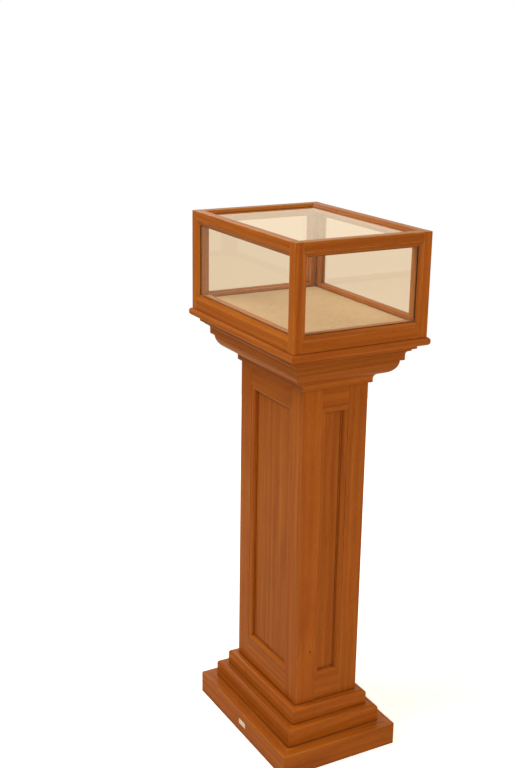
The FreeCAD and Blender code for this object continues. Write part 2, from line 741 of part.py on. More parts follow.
def make_wall_glass(side):
    """A pane and its four glazing beads on one wall of the case."""
    run, across = (CASE_X, CASE_Y) if side == "front" else (CASE_Y, CASE_X)
    half_run = run - D.rebate_wall
    foot = TRAY_TOP + BOTTOM_RAIL - REBATE
    top = CASE_TOP - D.rebate_wall
    pane = new_body(f"pane_{side}")
    room = D.glass_clearance
    prism(pane, "XZ_Plane", D.lip - across, D.lip + D.glass - across,
          [rectangle((room - half_run, half_run - room), (foot + room, top - room))])
    place(pane, rotation=turned(side))
    inside = {"front": (0, D.lip + D.glass - across), "right": (across - D.lip - D.glass, 0),
              "left": (D.lip + D.glass - across, 0)}[side]
    inward = turned(side).multiply(FreeCAD.Rotation(AXIS_X, -90))
    beads = mitred_frame(
        f"bead_{side}", half_x=half_run, half_y=(top - foot) / 2, width=BEAD_WIDTH,
        section=bead_section(BEAD_WIDTH, D.bead_depth),
        x=inside[0], y=inside[1], z=(top + foot) / 2, tilt=inward)
    return pane, beads


def make_top_glass():
    room = D.glass_clearance
    pane_x = CASE_X - D.rebate_wall
    pane_y = CASE_Y - D.rebate_wall
    level = CASE_TOP - D.lip - D.glass
    node(box("glass_top", (room - pane_x, pane_x - room), (room - pane_y, pane_y - room),
             (level, level + D.glass)))
    group("top_glazing_beads", mitred_frame(
        "top_bead", half_x=pane_x, half_y=pane_y, width=BEAD_WIDTH,
        section=bead_section(BEAD_WIDTH, D.bead_depth), z=level,
        tilt=FreeCAD.Rotation(AXIS_X, 180)))


def make_case():
    make_post("case_post_front_left", -1, -1, front_section(), True)
    make_post("case_post_front_right", 1, -1, front_section(), True)
    make_post("case_post_back_left", -1, 1, rear_section(), False)
    make_post("case_post_back_right", 1, 1, rear_section(), False)
    node(make_bottom_rail("front")).Label = "case_bottom_rail_front"
    group("case_bottom_rails_side", [make_bottom_rail("right"), make_bottom_rail("left")])
    node(make_top_rail("front"))
    make_rear_rail()
    group("case_top_rails_side", [make_top_rail("right"), make_top_rail("left")])
    panes = {}
    beads = []
    for side in ("front", "right", "left"):
        panes[side], lengths = make_wall_glass(side)
        beads += lengths
    panes["front"].Label = "glass_front"
    node(panes["front"])
    group("glass_sides", [panes["right"], panes["left"]])
    group("wall_glazing_beads", beads)
    make_top_glass()


# ---------------------------------------------------------------- deck

def make_deck():
    """A cloth-covered board that lies on cleats inside the case."""
    room = D.deck_clearance
    deck_x = REVEAL_X - room
    front = room - REVEAL_Y
    back = DOOR_FRONT - room
    cloth = D.deck_cloth
    node(box("deck_board", (cloth - deck_x, deck_x - cloth), (front + cloth, back - cloth),
             (DECK_FOOT, DECK_FOOT + D.deck_board)))
    body = new_body("deck_cloth")
    prism(body, "XY_Plane", DECK_FOOT, DECK_TOP, [rectangle((-deck_x, deck_x), (front, back))])
    inside = rectangle((cloth - deck_x, deck_x - cloth), (front + cloth, back - cloth))
    prism(body, "XY_Plane", DECK_FOOT - OVERCUT, DECK_TOP - cloth, [inside], cut=True)
    node(body)
    wide = D.cleat_width
    level = (TRAY_TOP, DECK_FOOT)
    cleats = [box("deck_cleat_front", (-REVEAL_X, REVEAL_X), (-REVEAL_Y, wide - REVEAL_Y), level)]
    for name, x in (("left", (-REVEAL_X, wide - REVEAL_X)), ("middle", (wide / -2, wide / 2)),
                    ("right", (REVEAL_X - wide, REVEAL_X))):
        cleats.append(box(f"deck_cleat_{name}", x, (wide - REVEAL_Y, REVEAL_Y), level))
    group("deck_cleats", cleats)


# ---------------------------------------------------------------- door

def make_door():
    """A glazed frame that fills the case's rear, with its pane held by beads on the inside."""
    wall = D.door_stile - D.door_rebate
    stile = [(0, 0), (D.door_stile, 0), (D.door_stile, D.door_lip), (wall, D.door_lip),
             (wall, D.door_thickness), (0, D.door_thickness)]
    stiles = []
    for sign, hand in ((-1, "free"), (1, "hinge")):
        body = new_body(f"door_stile_{hand}")
        prism(body, "XY_Plane", DOOR_FOOT, DOOR_TOP,
              [[(sign * (DOOR_X - a), DOOR_BACK - b) for a, b in stile]])
        stiles.append(body)
    group("door_stiles", stiles)

    sight_x = DOOR_X - D.door_stile
    wall_x = DOOR_X - wall
    rails = []
    for name, outer, sight, sign in (("foot", DOOR_FOOT, DOOR_FOOT + D.door_foot, 1),
                                     ("head", DOOR_TOP, DOOR_TOP - D.door_head, -1)):
        inner = sight - sign * D.door_rebate
        section = [(DOOR_BACK, outer), (DOOR_BACK, sight), (DOOR_BACK - D.door_lip, sight),
                   (DOOR_BACK - D.door_lip, inner), (DOOR_FRONT, inner), (DOOR_FRONT, outer)]
        body = new_body(f"door_rail_{name}")
        prism(body, "YZ_Plane", -wall_x, wall_x, [section])
        lip = (DOOR_BACK - D.door_lip, DOOR_BACK + OVERCUT)
        prism(body, "XY_Plane", DOOR_FOOT - OVERCUT, DOOR_TOP + OVERCUT, cut=True, outlines=[
            rectangle((sight_x, wall_x + OVERCUT), lip),
            rectangle((-wall_x - OVERCUT, -sight_x), lip)])
        if name == "foot":
            bore = D.barrel + D.running_clearance
            prism(body, "XZ_Plane", DOOR_FRONT - OVERCUT, DOOR_BACK + OVERCUT, cut=True,
                  circles=[(LOCK_X, LOCK_Z, bore)])
        rails.append(body)
    group("door_rails", rails)

    foot = DOOR_FOOT + D.door_foot - D.door_rebate
    top = DOOR_TOP - D.door_head + D.door_rebate
    room = D.glass_clearance
    pane = new_body("door_glass")
    prism(pane, "XZ_Plane", DOOR_PANE_FRONT, DOOR_PANE_FRONT + D.door_glass,
          [rectangle((room - wall_x, wall_x - room), (foot + room, top - room))])
    node(pane)
    depth = DOOR_PANE_FRONT - DOOR_FRONT
    group("door_glazing_beads", mitred_frame(
        "door_bead", half_x=wall_x, half_y=(top - foot) / 2, width=D.door_rebate,
        section=bead_section(D.door_rebate, depth),
        y=DOOR_PANE_FRONT, z=(top + foot) / 2, tilt=UPRIGHT))


def make_stops():
    """Round brass heads on the posts' reveals, which the closed door rests against."""
    y = DOOR_FRONT - D.stop_gap - D.stop_radius
    stops = []
    levels = (("low", DECK_TOP + D.stop_height), ("high", CASE_TOP - D.rear_rail - D.stop_height))
    for name, level in levels:
        for hand, span in (("right", (REVEAL_X - D.stop_length, REVEAL_X)),
                           ("left", mirrored(REVEAL_X - D.stop_length, REVEAL_X))):
            body = new_body(f"door_stop_{name}_{hand}")
            pad = prism(body, "YZ_Plane", *span, circles=[(y, level, D.stop_radius)])
            doc.recompute()
            inner = min(pad.Shape.Edges,
                        key=lambda edge: abs(edge.CenterOfMass.x) + edge.BoundBox.XLength)
            crown = body.newObject("PartDesign::Fillet", f"door_stop_crown_{name}_{hand}")
            crown.Base = (pad, [f"Edge{1 + edge_number(pad.Shape, inner)}"])
            crown.setExpression("Radius", D.stop_crown.formula)
            body.Tip = crown
            stops.append(body)
    group("door_stops", stops)


def edge_number(shape, edge):
    return next(number for number, other in enumerate(shape.Edges) if other.isSame(edge))


# ---------------------------------------------------------------- hinges

def knuckle_spans(middle):
    """Levels of a hinge's knuckles, from the bottom."""
    pitch = D.leaf_height / KNUCKLES
    foot = middle - D.leaf_height / 2
    return [(foot + pitch * number, foot + pitch * (number + 1) - D.knuckle_gap)
            for number in range(KNUCKLES)]


def screw_levels(middle):
    reach = D.leaf_height / 2 - D.screw_inset
    return [middle - reach, middle + reach]


SCREW_Y = CASE_Y - D.leaf_width / 2


def make_leaf(label, middle, side, owned, bore):
    """A hinge leaf: flat plate, its own knuckles, and two screw holes.

    side is 1 for the leaf on the post and -1 for the leaf on the door.
    """
    outer = D.door_gap / 2
    span = (HINGE_X + side * (outer - D.leaf), HINGE_X + side * outer)
    span = span if side > 0 else span[::-1]
    body = new_body(label)
    low = middle - D.leaf_height / 2
    high = middle + D.leaf_height / 2 - D.knuckle_gap
    prism(body, "XY_Plane", low, high, [rectangle(span, (CASE_Y - D.leaf_width, CASE_Y))])
    spans = [knuckle_spans(middle)[number] for number in owned]
    for bottom, top in spans:
        prism(body, "XY_Plane", bottom, top, [rectangle(span, (CASE_Y, HINGE_Y))])
        prism(body, "XY_Plane", bottom, top, circles=[(HINGE_X, HINGE_Y, D.knuckle)])
    prism(body, "XY_Plane", low - OVERCUT, high + OVERCUT, circles=[(HINGE_X, HINGE_Y, bore)], cut=True)
    hole = D.screw_head + D.screw_clearance
    prism(body, "YZ_Plane", span[0] - OVERCUT, span[1] + OVERCUT, cut=True,
          circles=[(SCREW_Y, level, hole) for level in screw_levels(middle)])
    return body


def make_screw(label, level, side):
    """A slotted screw head that lies flush in its leaf."""
    outer = D.door_gap / 2
    span = (HINGE_X + side * (outer - D.leaf), HINGE_X + side * outer)
    span = span if side > 0 else span[::-1]
    body = new_body(label)
    prism(body, "YZ_Plane", *span, circles=[(SCREW_Y, level, D.screw_head)])
    slot = D.screw_slot / 2
    half = D.leaf / 2
    face = (span[0] - OVERCUT, span[0] + half) if side > 0 else (span[1] - half, span[1] + OVERCUT)
    across = 2 * D.screw_head
    prism(body, "YZ_Plane", *face, cut=True, outlines=[
        rectangle((SCREW_Y - across, SCREW_Y + across), (level - slot, level + slot))])
    return body


def make_hinges():
    case_leaves = []
    door_leaves = []
    pins = []
    case_screws = []
    door_screws = []
    middles = (("low", DOOR_FOOT + D.hinge_inset + D.leaf_height / 2),
               ("high", DOOR_TOP - D.hinge_inset - D.leaf_height / 2))
    for name, middle in middles:
        case_leaves.append(make_leaf(
            f"case_leaf_{name}", middle, 1, range(0, KNUCKLES, 2), D.hinge_pin))
        door_leaves.append(make_leaf(
            f"door_leaf_{name}", middle, -1, range(1, KNUCKLES, 2),
            D.hinge_pin + D.running_clearance))
        pin = new_body(f"hinge_pin_{name}")
        half = D.leaf_height / 2
        prism(pin, "XY_Plane", middle - half, middle + half - D.knuckle_gap,
              circles=[(HINGE_X, HINGE_Y, D.hinge_pin)])
        pins.append(pin)
        for number, level in enumerate(screw_levels(middle), start=1):
            case_screws.append(make_screw(f"case_screw_{name}_{number}", level, 1))
            door_screws.append(make_screw(f"door_screw_{name}_{number}", level, -1))
    group("hinge_case_leaves", case_leaves + pins)
    group("hinge_door_leaves", door_leaves)
    group("hinge_case_screws", case_screws)
    group("hinge_door_screws", door_screws)


# ---------------------------------------------------------------- lock

def make_lock():
    """A cam lock in the door's bottom rail. The cam lies level at rest and turns down to lock."""
    barrel = new_body("lock_barrel")
    face = DOOR_BACK + D.flange_thickness
    prism(barrel, "XZ_Plane", CAM_BACK, DOOR_BACK, circles=[(LOCK_X, LOCK_Z, D.barrel)])
    prism(barrel, "XZ_Plane", DOOR_BACK, face, circles=[(LOCK_X, LOCK_Z, D.barrel_flange)])
    prism(barrel, "XZ_Plane", CAM_BACK - OVERCUT, face + OVERCUT, cut=True,
          circles=[(LOCK_X, LOCK_Z, D.plug + D.running_clearance)])
    node(barrel)

    plug = new_body("lock_cam")
    prism(plug, "XZ_Plane", CAM_FRONT, face - D.knuckle_gap, circles=[(LOCK_X, LOCK_Z, D.plug)])
    half = D.cam_width / 2
    tip = LOCK_X + D.lock_height - D.cam_clearance
    blade = [(LOCK_X, LOCK_Z - half), (tip - half, LOCK_Z - half),
             (tip, LOCK_Z, (tip - half, LOCK_Z)), (tip - half, LOCK_Z + half, (tip - half, LOCK_Z)),
             (LOCK_X, LOCK_Z + half)]
    prism(plug, "XZ_Plane", CAM_FRONT, CAM_BACK - D.knuckle_gap, [blade])
    keyway_side = D.keyway_width / 2
    keyway_end = D.keyway_height / 2
    keyway = rectangle((LOCK_X - keyway_side, LOCK_X + keyway_side),
                       (LOCK_Z - keyway_end, LOCK_Z + keyway_end))
    prism(plug, "XZ_Plane", DOOR_BACK - D.flange_thickness, face + OVERCUT, [keyway], cut=True)
    node(plug)

    strike = new_body("lock_strike")
    low_x = LOCK_X - D.strike_length / 2
    strike_front = CAM_BACK + D.strike_gap
    upright_back = strike_front + D.strike
    foot_top = TRAY_TOP + D.strike
    upright_top = LOCK_Z - D.barrel - D.strike_clearance
    corners = [(strike_front, TRAY_TOP), (strike_front, upright_top),
               (upright_back, upright_top), (upright_back, foot_top),
               (strike_front + D.strike_foot, foot_top), (strike_front + D.strike_foot, TRAY_TOP)]
    prism(strike, "YZ_Plane", low_x, low_x + D.strike_length, [corners])
    node(strike)


make_base()
make_step("lower_step", D.lower_step_projection, D.lower_step_height, D.lower_step_nose, COLUMN_FOOT)
make_step("upper_step", D.upper_step_projection, D.upper_step_height, D.upper_step_nose, LOWER_STEP_TOP)
make_column()
make_capital()
make_tray()
make_case()
make_deck()
make_door()
make_stops()
make_hinges()
make_lock()
doc.recompute()

for thing in doc.Objects:
    if {"Invalid", "Error"} & set(thing.State):
        raise RuntimeError(f"{thing.Label} failed: {thing.State}")
for thing in nodes:
    if thing.Shape.isNull() or not thing.Shape.isValid() or not thing.Shape.Solids:
        raise RuntimeError(f"{thing.Label} has no sound solid")

os.makedirs("parts", exist_ok=True)
for thing in nodes:
    thing.Shape.exportStep(f"parts/{thing.Label}.step")
    print(thing.Label, len(thing.Shape.Solids), round(thing.Shape.Volume))
print(len(nodes), "nodes")
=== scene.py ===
"""Looks of the display plinth: varnished joinery, clear glass, cloth and metal round its CAD frame.

Metres, in the CAD frame's own axes: +X to the right, the front faces -Y, the door faces +Y, +Z is up.
"""
import json
import math
import random

import bmesh
import bpy
from mathutils import Matrix, Vector, noise


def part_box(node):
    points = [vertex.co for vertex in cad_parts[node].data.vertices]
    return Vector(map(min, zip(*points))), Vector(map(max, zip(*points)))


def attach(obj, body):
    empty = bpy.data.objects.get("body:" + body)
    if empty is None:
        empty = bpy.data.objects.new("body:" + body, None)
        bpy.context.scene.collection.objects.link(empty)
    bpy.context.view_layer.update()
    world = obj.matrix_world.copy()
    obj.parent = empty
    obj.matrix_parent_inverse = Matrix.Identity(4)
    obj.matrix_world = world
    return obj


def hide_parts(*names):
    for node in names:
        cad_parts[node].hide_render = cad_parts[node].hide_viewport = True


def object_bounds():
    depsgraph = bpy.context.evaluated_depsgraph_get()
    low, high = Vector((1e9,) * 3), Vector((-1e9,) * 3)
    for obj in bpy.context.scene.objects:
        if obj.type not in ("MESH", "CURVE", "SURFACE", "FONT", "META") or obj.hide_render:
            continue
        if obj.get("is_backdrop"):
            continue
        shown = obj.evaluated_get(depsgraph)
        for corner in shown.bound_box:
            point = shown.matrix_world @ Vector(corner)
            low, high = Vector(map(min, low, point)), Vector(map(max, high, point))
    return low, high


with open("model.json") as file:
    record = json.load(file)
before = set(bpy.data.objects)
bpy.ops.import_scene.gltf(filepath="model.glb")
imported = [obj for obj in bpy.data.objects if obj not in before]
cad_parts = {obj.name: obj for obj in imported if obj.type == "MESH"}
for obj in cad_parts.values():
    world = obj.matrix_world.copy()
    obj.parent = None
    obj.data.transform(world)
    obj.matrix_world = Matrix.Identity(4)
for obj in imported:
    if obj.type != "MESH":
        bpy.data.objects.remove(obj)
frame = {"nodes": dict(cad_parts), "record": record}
CAD_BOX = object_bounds()
NODES = frame["nodes"]
BODIES = frame["record"]["behaviour"]["bodies"]
BODY_OF = {node: body for body, members in BODIES.items() for node in members}
SLOT_OF = {part["node"]: part["material_slot"] for part in frame["record"]["subparts"]}
AXES = (Vector((1, 0, 0)), Vector((0, 1, 0)), Vector((0, 0, 1)))
ROOT = "case_and_column"


# ------------------------------------------------------------------ node trees

MIX_SHARE, MIX_A, MIX_B = 0, 6, 7    # a Mix node's colour sockets, which share their names with others
MIX_RESULT = 2


class Graph:
    """A node tree being drawn. An input is given by name, as a value or as another node's output."""

    def __init__(self, tree):
        self.tree = tree

    def add(self, kind, inputs=None, **settings):
        node = self.tree.nodes.new(kind)
        for name, value in settings.items():
            setattr(node, name, value)
        return self.fill(node, inputs or {})

    def fill(self, node, inputs):
        for name, value in inputs.items():
            self.feed(node.inputs[name], value)
        return node

    def use(self, group, inputs):
        """Another tree placed in this one, with its own values. Returns its outputs."""
        node = self.add(group.bl_idname.replace("Tree", "Group"), node_tree=group)
        return self.fill(node, inputs).outputs

    def feed(self, socket, value):
        if isinstance(value, bpy.types.NodeSocket):
            self.tree.links.new(value, socket)
        else:
            socket.default_value = value

    def math(self, operation, *values):
        return self.add("ShaderNodeMath", dict(enumerate(values)), operation=operation).outputs[0]

    def vector(self, operation, *values):
        node = self.add("ShaderNodeVectorMath", dict(enumerate(values)), operation=operation)
        return node.outputs["Value" if operation == "LENGTH" else "Vector"]

    def scale(self, place, factor):
        node = self.add("ShaderNodeVectorMath", {0: place, "Scale": factor}, operation="SCALE")
        return node.outputs["Vector"]

    def remap(self, value, low, high, to_low=0.0, to_high=1.0):
        node = self.add("ShaderNodeMapRange", {
            "Value": value, "From Min": low, "From Max": high, "To Min": to_low, "To Max": to_high})
        return node.outputs["Result"]

    def noise(self, place, per_metre, detail=2.0, roughness=0.5):
        """Noise with so many features to the metre on each axis."""
        scaled = self.vector("MULTIPLY", place, per_metre)
        node = self.add("ShaderNodeTexNoise", {
            "Vector": scaled, "Scale": 1.0, "Detail": detail, "Roughness": roughness})
        return node.outputs["Fac"]

    def mix(self, share, a, b):
        """A colour that goes from a to b as the share goes from 0 to 1."""
        node = self.add("ShaderNodeMix", {MIX_SHARE: share, MIX_A: a, MIX_B: b}, data_type="RGBA")
        return node.outputs[MIX_RESULT]


def new_group(name, kind, inputs, outputs):
    """A node group with named sockets. Returns the group, its graph, its inputs and its outputs."""
    group = bpy.data.node_groups.new(name, kind)
    for label, socket_type, value in inputs:
        socket = group.interface.new_socket(label, in_out="INPUT", socket_type=socket_type)
        if value is not None:
            socket.default_value = value
    for label, socket_type in outputs:
        group.interface.new_socket(label, in_out="OUTPUT", socket_type=socket_type)
    graph = Graph(group)
    source = graph.add("NodeGroupInput")
    sink = graph.add("NodeGroupOutput")
    return group, graph, source.outputs, sink.inputs


def srgb(code):
    """A linear colour from a six-digit web code."""
    parts = [int(code[start:start + 2], 16) / 255 for start in (0, 2, 4)]
    linear = [part / 12.92 if part <= 0.04045 else ((part + 0.055) / 1.055) ** 2.4 for part in parts]
    return (*linear, 1.0)


# ------------------------------------------------------------------ shared effects

# features to the metre: across a board, through it and along it
RING_WAVER = (5.0, 5.0, 1.1)
STREAKS = (85.0, 85.0, 1.8)
FIBRES = (520.0, 520.0, 9.0)
PORES = (1500.0, 1500.0, 55.0)
RIBBONS = (22.0, 22.0, 9.0)
RUBBED_PATCHES = (28.0, 28.0, 28.0)
SCRATCHES = (60.0, 2400.0, 900.0)
# the next sets how unevenly the painted corner shade falls
PAINTED_SHADE_PATCHES = (45.0, 45.0, 12.0)

WAVER_IN_RINGS = 5.0         # how many rings the figure wanders by
RINGS_SHARE = 0.28           # what the rings, streaks and fibres give to the late wood
STREAKS_SHARE = 0.46
FIBRES_SHARE = 0.26
PORE_DARKNESS = 0.45
FIBRE_RELIEF = 0.35          # beside a pore's depth of 1
END_GRAIN_SHADE = 0.8


def grain_group():
    """Sawn timber. Place runs across, through and along the board, in that order."""
    group, graph, given, out = new_group(
        "sawn_grain", "ShaderNodeTree",
        [("Place", "NodeSocketVector", None), ("Tone", "NodeSocketFloat", 0.0),
         ("Early wood", "NodeSocketColor", None), ("Late wood", "NodeSocketColor", None),
         ("Pore", "NodeSocketColor", None), ("Ring spacing", "NodeSocketFloat", 0.011),
         ("Figure", "NodeSocketFloat", 0.2), ("End grain", "NodeSocketFloat", 0.0)],
        [("Colour", "NodeSocketColor"), ("Streak", "NodeSocketFloat"), ("Height", "NodeSocketFloat")])
    place = given["Place"]
    waver = graph.noise(place, RING_WAVER, detail=3.0)
    cross = graph.vector("MULTIPLY", place, (1.0, 1.0, 0.0))
    radius = graph.vector("LENGTH", cross)
    turns = graph.math("DIVIDE", radius, given["Ring spacing"])
    bent = graph.math("MULTIPLY_ADD", waver, WAVER_IN_RINGS, turns)
    rings = graph.remap(graph.math("SINE", graph.math("MULTIPLY", bent, math.tau)), -1.0, 1.0)
    streak = graph.noise(place, STREAKS, detail=3.0, roughness=0.6)
    fibre = graph.noise(place, FIBRES)
    pores = graph.remap(graph.noise(place, PORES, detail=1.0), 0.60, 0.72)
    ribbon = graph.noise(place, RIBBONS)

    sharp_streak = graph.remap(streak, 0.32, 0.68)
    late = graph.math("MULTIPLY", rings, RINGS_SHARE)
    late = graph.math("MULTIPLY_ADD", sharp_streak, STREAKS_SHARE, late)
    late = graph.math("MULTIPLY_ADD", fibre, FIBRES_SHARE, late)
    wood = graph.mix(late, given["Early wood"], given["Late wood"])
    pored = graph.mix(graph.math("MULTIPLY", pores, PORE_DARKNESS), wood, given["Pore"])
    ribbon_light = graph.math("MULTIPLY", graph.math("SUBTRACT", ribbon, 0.5), given["Figure"])
    brightness = graph.math("ADD", graph.math("ADD", ribbon_light, 1.0), given["Tone"])
    end_shade = graph.remap(given["End grain"], 0.0, 1.0, 1.0, END_GRAIN_SHADE)
    relief = graph.math("MULTIPLY", fibre, FIBRE_RELIEF)
    graph.feed(out["Colour"], graph.scale(pored, graph.math("MULTIPLY", brightness, end_shade)))
    graph.feed(out["Streak"], sharp_streak)
    graph.feed(out["Height"], graph.math("MULTIPLY_ADD", pores, -1.0, relief))
    return group


def handling_group():
    """What hands and dusters leave: edges rubbed pale and a smudged sheen; also painted shade, which
    darkens the corners by their ambient occlusion.
    """
    group, graph, given, out = new_group(
        "handling", "ShaderNodeTree",
        [("Place", "NodeSocketVector", None), ("Edge", "NodeSocketFloat", 0.0),
         ("Amount", "NodeSocketFloat", 0.5), ("Smudge size", "NodeSocketFloat", 0.06),
         ("Corner reach", "NodeSocketFloat", 0.007)],
        [("Rubbed", "NodeSocketFloat"), ("Smudge", "NodeSocketFloat"), ("Scratch", "NodeSocketFloat"),
         ("Painted corner shade", "NodeSocketFloat")])
    place = given["Place"]
    patches = graph.remap(graph.noise(place, RUBBED_PATCHES, detail=3.0), 0.35, 0.62)
    rubbed = graph.math("MULTIPLY", graph.math("MULTIPLY", patches, given["Edge"]), given["Amount"])
    spread = graph.scale(place, graph.math("DIVIDE", 1.0, given["Smudge size"]))
    smudge = graph.remap(graph.noise(spread, (1.0, 1.0, 1.0), detail=4.0, roughness=0.62), 0.3, 0.75)
    scratch = graph.remap(graph.noise(place, SCRATCHES, detail=1.0), 0.66, 0.74)
    # painted shade: the corners darken where ambient occlusion finds other surfaces near
    corners = graph.add("ShaderNodeAmbientOcclusion", {"Distance": given["Corner reach"]}, samples=8)
    # painted shade from ambient occlusion; a face laid against another is wholly closed, and gets none of
    # it
    open_side = graph.remap(corners.outputs["AO"], 0.0, 0.15)
    closed = graph.math("MULTIPLY", graph.remap(corners.outputs["AO"], 0.9, 0.35), open_side)
    uneven = graph.remap(graph.noise(place, PAINTED_SHADE_PATCHES), 0.25, 0.6, 0.55, 1.0)
    graph.feed(out["Painted corner shade"], graph.math("MULTIPLY", closed, uneven))
    graph.feed(out["Rubbed"], rubbed)
    graph.feed(out["Smudge"], graph.math("MULTIPLY", smudge, given["Amount"]))
    graph.feed(out["Scratch"], scratch)
    return group


# ------------------------------------------------------------------ materials

def new_material(name):
    """A material with its Principled shader. Returns the material, its graph and the shader."""
    material = bpy.data.materials.new(name)
    material.use_nodes = True
    material.node_tree.nodes.clear()
    graph = Graph(material.node_tree)
    shader = graph.add("ShaderNodeBsdfPrincipled")
    graph.add("ShaderNodeOutputMaterial", {"Surface": shader.outputs["BSDF"]})
    return material, graph, shader


def bumped(graph, height, strength, depth):
    node = graph.add("ShaderNodeBump", {"Height": height, "Strength": strength, "Distance": depth})
    return node.outputs["Normal"]


def attribute(graph, name, output):
    return graph.add("ShaderNodeAttribute", attribute_name=name).outputs[output]


def object_place(graph, turn=(0.0, 0.0, 0.0)):
    """Object coordinates, turned so that their third runs along the piece."""
    place = graph.add("ShaderNodeTexCoord").outputs["Object"]
    return graph.add("ShaderNodeMapping", {"Vector": place, "Rotation": turn}).outputs["Vector"]


def varnished_wood(grain, handling):
    """Red-brown hardwood under a satin varnish, its arrises rubbed pale."""
    material, graph, shader = new_material("varnished_hardwood")
    place = attribute(graph, "board_at", "Vector")
    wood = graph.use(grain, {
        "Place": place, "Tone": attribute(graph, "board_tone", "Fac"),
        "Early wood": srgb("b3661e"), "Late wood": srgb("93450f"), "Pore": srgb("5c2006"),
        "Ring spacing": 0.013, "Figure": 0.20, "End grain": attribute(graph, "end_grain", "Fac")})
    wear = graph.use(handling, {
        "Place": place, "Edge": attribute(graph, "arris", "Fac"), "Amount": 0.55})
    colour = graph.mix(wear["Rubbed"], wood["Colour"], srgb("c98b45"))
    # painted shade: the corners are painted dark brown where ambient occlusion is low
    painted_shade = graph.math("MULTIPLY", wear["Painted corner shade"], 0.72)
    sheen = graph.remap(wood["Streak"], 0.0, 1.0, 0.40, 0.50)
    graph.fill(shader, {
        # the corners painted dark brown as painted shade
        "Base Color": graph.mix(painted_shade, colour, srgb("46180a")),
        "Roughness": graph.math("MULTIPLY_ADD", wear["Smudge"], 0.10, sheen),
        "Specular IOR Level": 0.06, "Coat Weight": 0.34, "Coat Roughness": 0.13,
        "Normal": bumped(graph, wood["Height"], 0.25, 0.00012)})
    return material


def carcass_wood(name, grain, turn):
    """Pale unfinished boards of the carcass."""
    material, graph, shader = new_material(name)
    wood = graph.use(grain, {
        "Place": object_place(graph, turn), "Early wood": srgb("d9b98a"), "Late wood": srgb("b98c57"),
        "Pore": srgb("8a6238"), "Ring spacing": 0.007, "Figure": 0.12})
    graph.fill(shader, {
        "Base Color": wood["Colour"], "Roughness": graph.remap(wood["Streak"], 0.0, 1.0, 0.62, 0.74),
        "Specular IOR Level": 0.25, "Normal": bumped(graph, wood["Height"], 0.35, 0.0002)})
    return material


def clear_glass(handling):
    """Float glass. Lamps shine straight through it, so that the deck is lit."""
    material, graph, shader = new_material("clear_glass")
    wear = graph.use(handling, {
        "Place": object_place(graph), "Amount": 0.5, "Smudge size": 0.05})
    graph.fill(shader, {
        "Base Color": (0.975, 0.99, 0.982, 1.0), "Transmission Weight": 1.0, "IOR": 1.5,
        "Roughness": graph.math("MULTIPLY", wear["Smudge"], 0.012)})
    open_to_light = graph.add("ShaderNodeBsdfTransparent", {"Color": (0.94, 0.955, 0.945, 1.0)})
    shadow = graph.add("ShaderNodeLightPath").outputs["Is Shadow Ray"]
    both = graph.add("ShaderNodeMixShader", {
        0: shadow, 1: shader.outputs["BSDF"], 2: open_to_light.outputs["BSDF"]})
    output = next(node for node in graph.tree.nodes if node.type == "OUTPUT_MATERIAL")
    graph.feed(output.inputs["Surface"], both.outputs["Shader"])
    return material


THREAD = 0.0008              # a thread's width and the next gap
CUT_PLAN = "cut"             # the cloth's UV map, in metres of flat cloth


def woven_cloth():
    """Plain-woven tan linen: slubbed yarn, faded in places, with a worn nap."""
    material, graph, shader = new_material("tan_linen")
    plan = graph.add("ShaderNodeUVMap", uv_map=CUT_PLAN).outputs["UV"]
    threads = graph.scale(plan, 1 / THREAD)
    apart = graph.add("ShaderNodeSeparateXYZ", {"Vector": threads}).outputs
    crowns = []
    for axis in ("X", "Y"):
        wave = graph.math("SINE", graph.math("MULTIPLY", apart[axis], math.pi))
        crowns.append(graph.math("ABSOLUTE", wave))
    square = graph.vector("FLOOR", threads)
    cell = graph.add("ShaderNodeSeparateXYZ", {"Vector": square}).outputs
    over = graph.math("PINGPONG", graph.math("ADD", cell["X"], cell["Y"]), 1.0)
    across = graph.math("MULTIPLY", crowns[0], over)
    along = graph.math("MULTIPLY", crowns[1], graph.math("SUBTRACT", 1.0, over))
    height = graph.math("ADD", across, along)
    slubs = graph.noise(plan, (1500.0, 60.0, 1.0))
    slubs_across = graph.noise(plan, (60.0, 1500.0, 1.0))
    uneven = graph.remap(graph.math("ADD", slubs, slubs_across), 0.75, 1.3)
    faded = graph.remap(graph.noise(plan, (9.0, 9.0, 1.0), detail=4.0, roughness=0.6), 0.3, 0.7)
    nap = graph.remap(graph.noise(plan, (70.0, 70.0, 1.0), detail=5.0, roughness=0.7), 0.32, 0.68)
    yarn = graph.mix(uneven, srgb("bb9055"), srgb("d8af73"))
    yarn = graph.mix(graph.math("MULTIPLY", faded, 0.55), yarn, srgb("e2bf8f"))
    yarn = graph.mix(graph.math("MULTIPLY", nap, 0.7), yarn, srgb("ae8755"))
    graph.fill(shader, {
        # painted shade: the low places between the threads are painted dark brown
        "Base Color": graph.mix(graph.remap(height, 0.0, 0.55), srgb("86602f"), yarn),
        "Roughness": graph.remap(uneven, 0.0, 1.0, 0.82, 0.95), "Specular IOR Level": 0.2,
        "Sheen Weight": 0.25, "Sheen Roughness": 0.5, "Normal": bumped(graph, height, 0.5, 0.0003)})
    return material


def metal(name, handling, clean, tarnished, roughness):
    """Polished metal, duller and darker where it is tarnished."""
    material, graph, shader = new_material(name)
    wear = graph.use(handling, {
        "Place": object_place(graph), "Amount": 0.8, "Smudge size": 0.006})
    graph.fill(shader, {
        "Base Color": graph.mix(wear["Smudge"], clean, tarnished), "Metallic": 1.0,
        "Roughness": graph.math("MULTIPLY_ADD", wear["Smudge"], 0.22, roughness),
        "Normal": bumped(graph, wear["Scratch"], 0.15, 0.00005)})
    return material


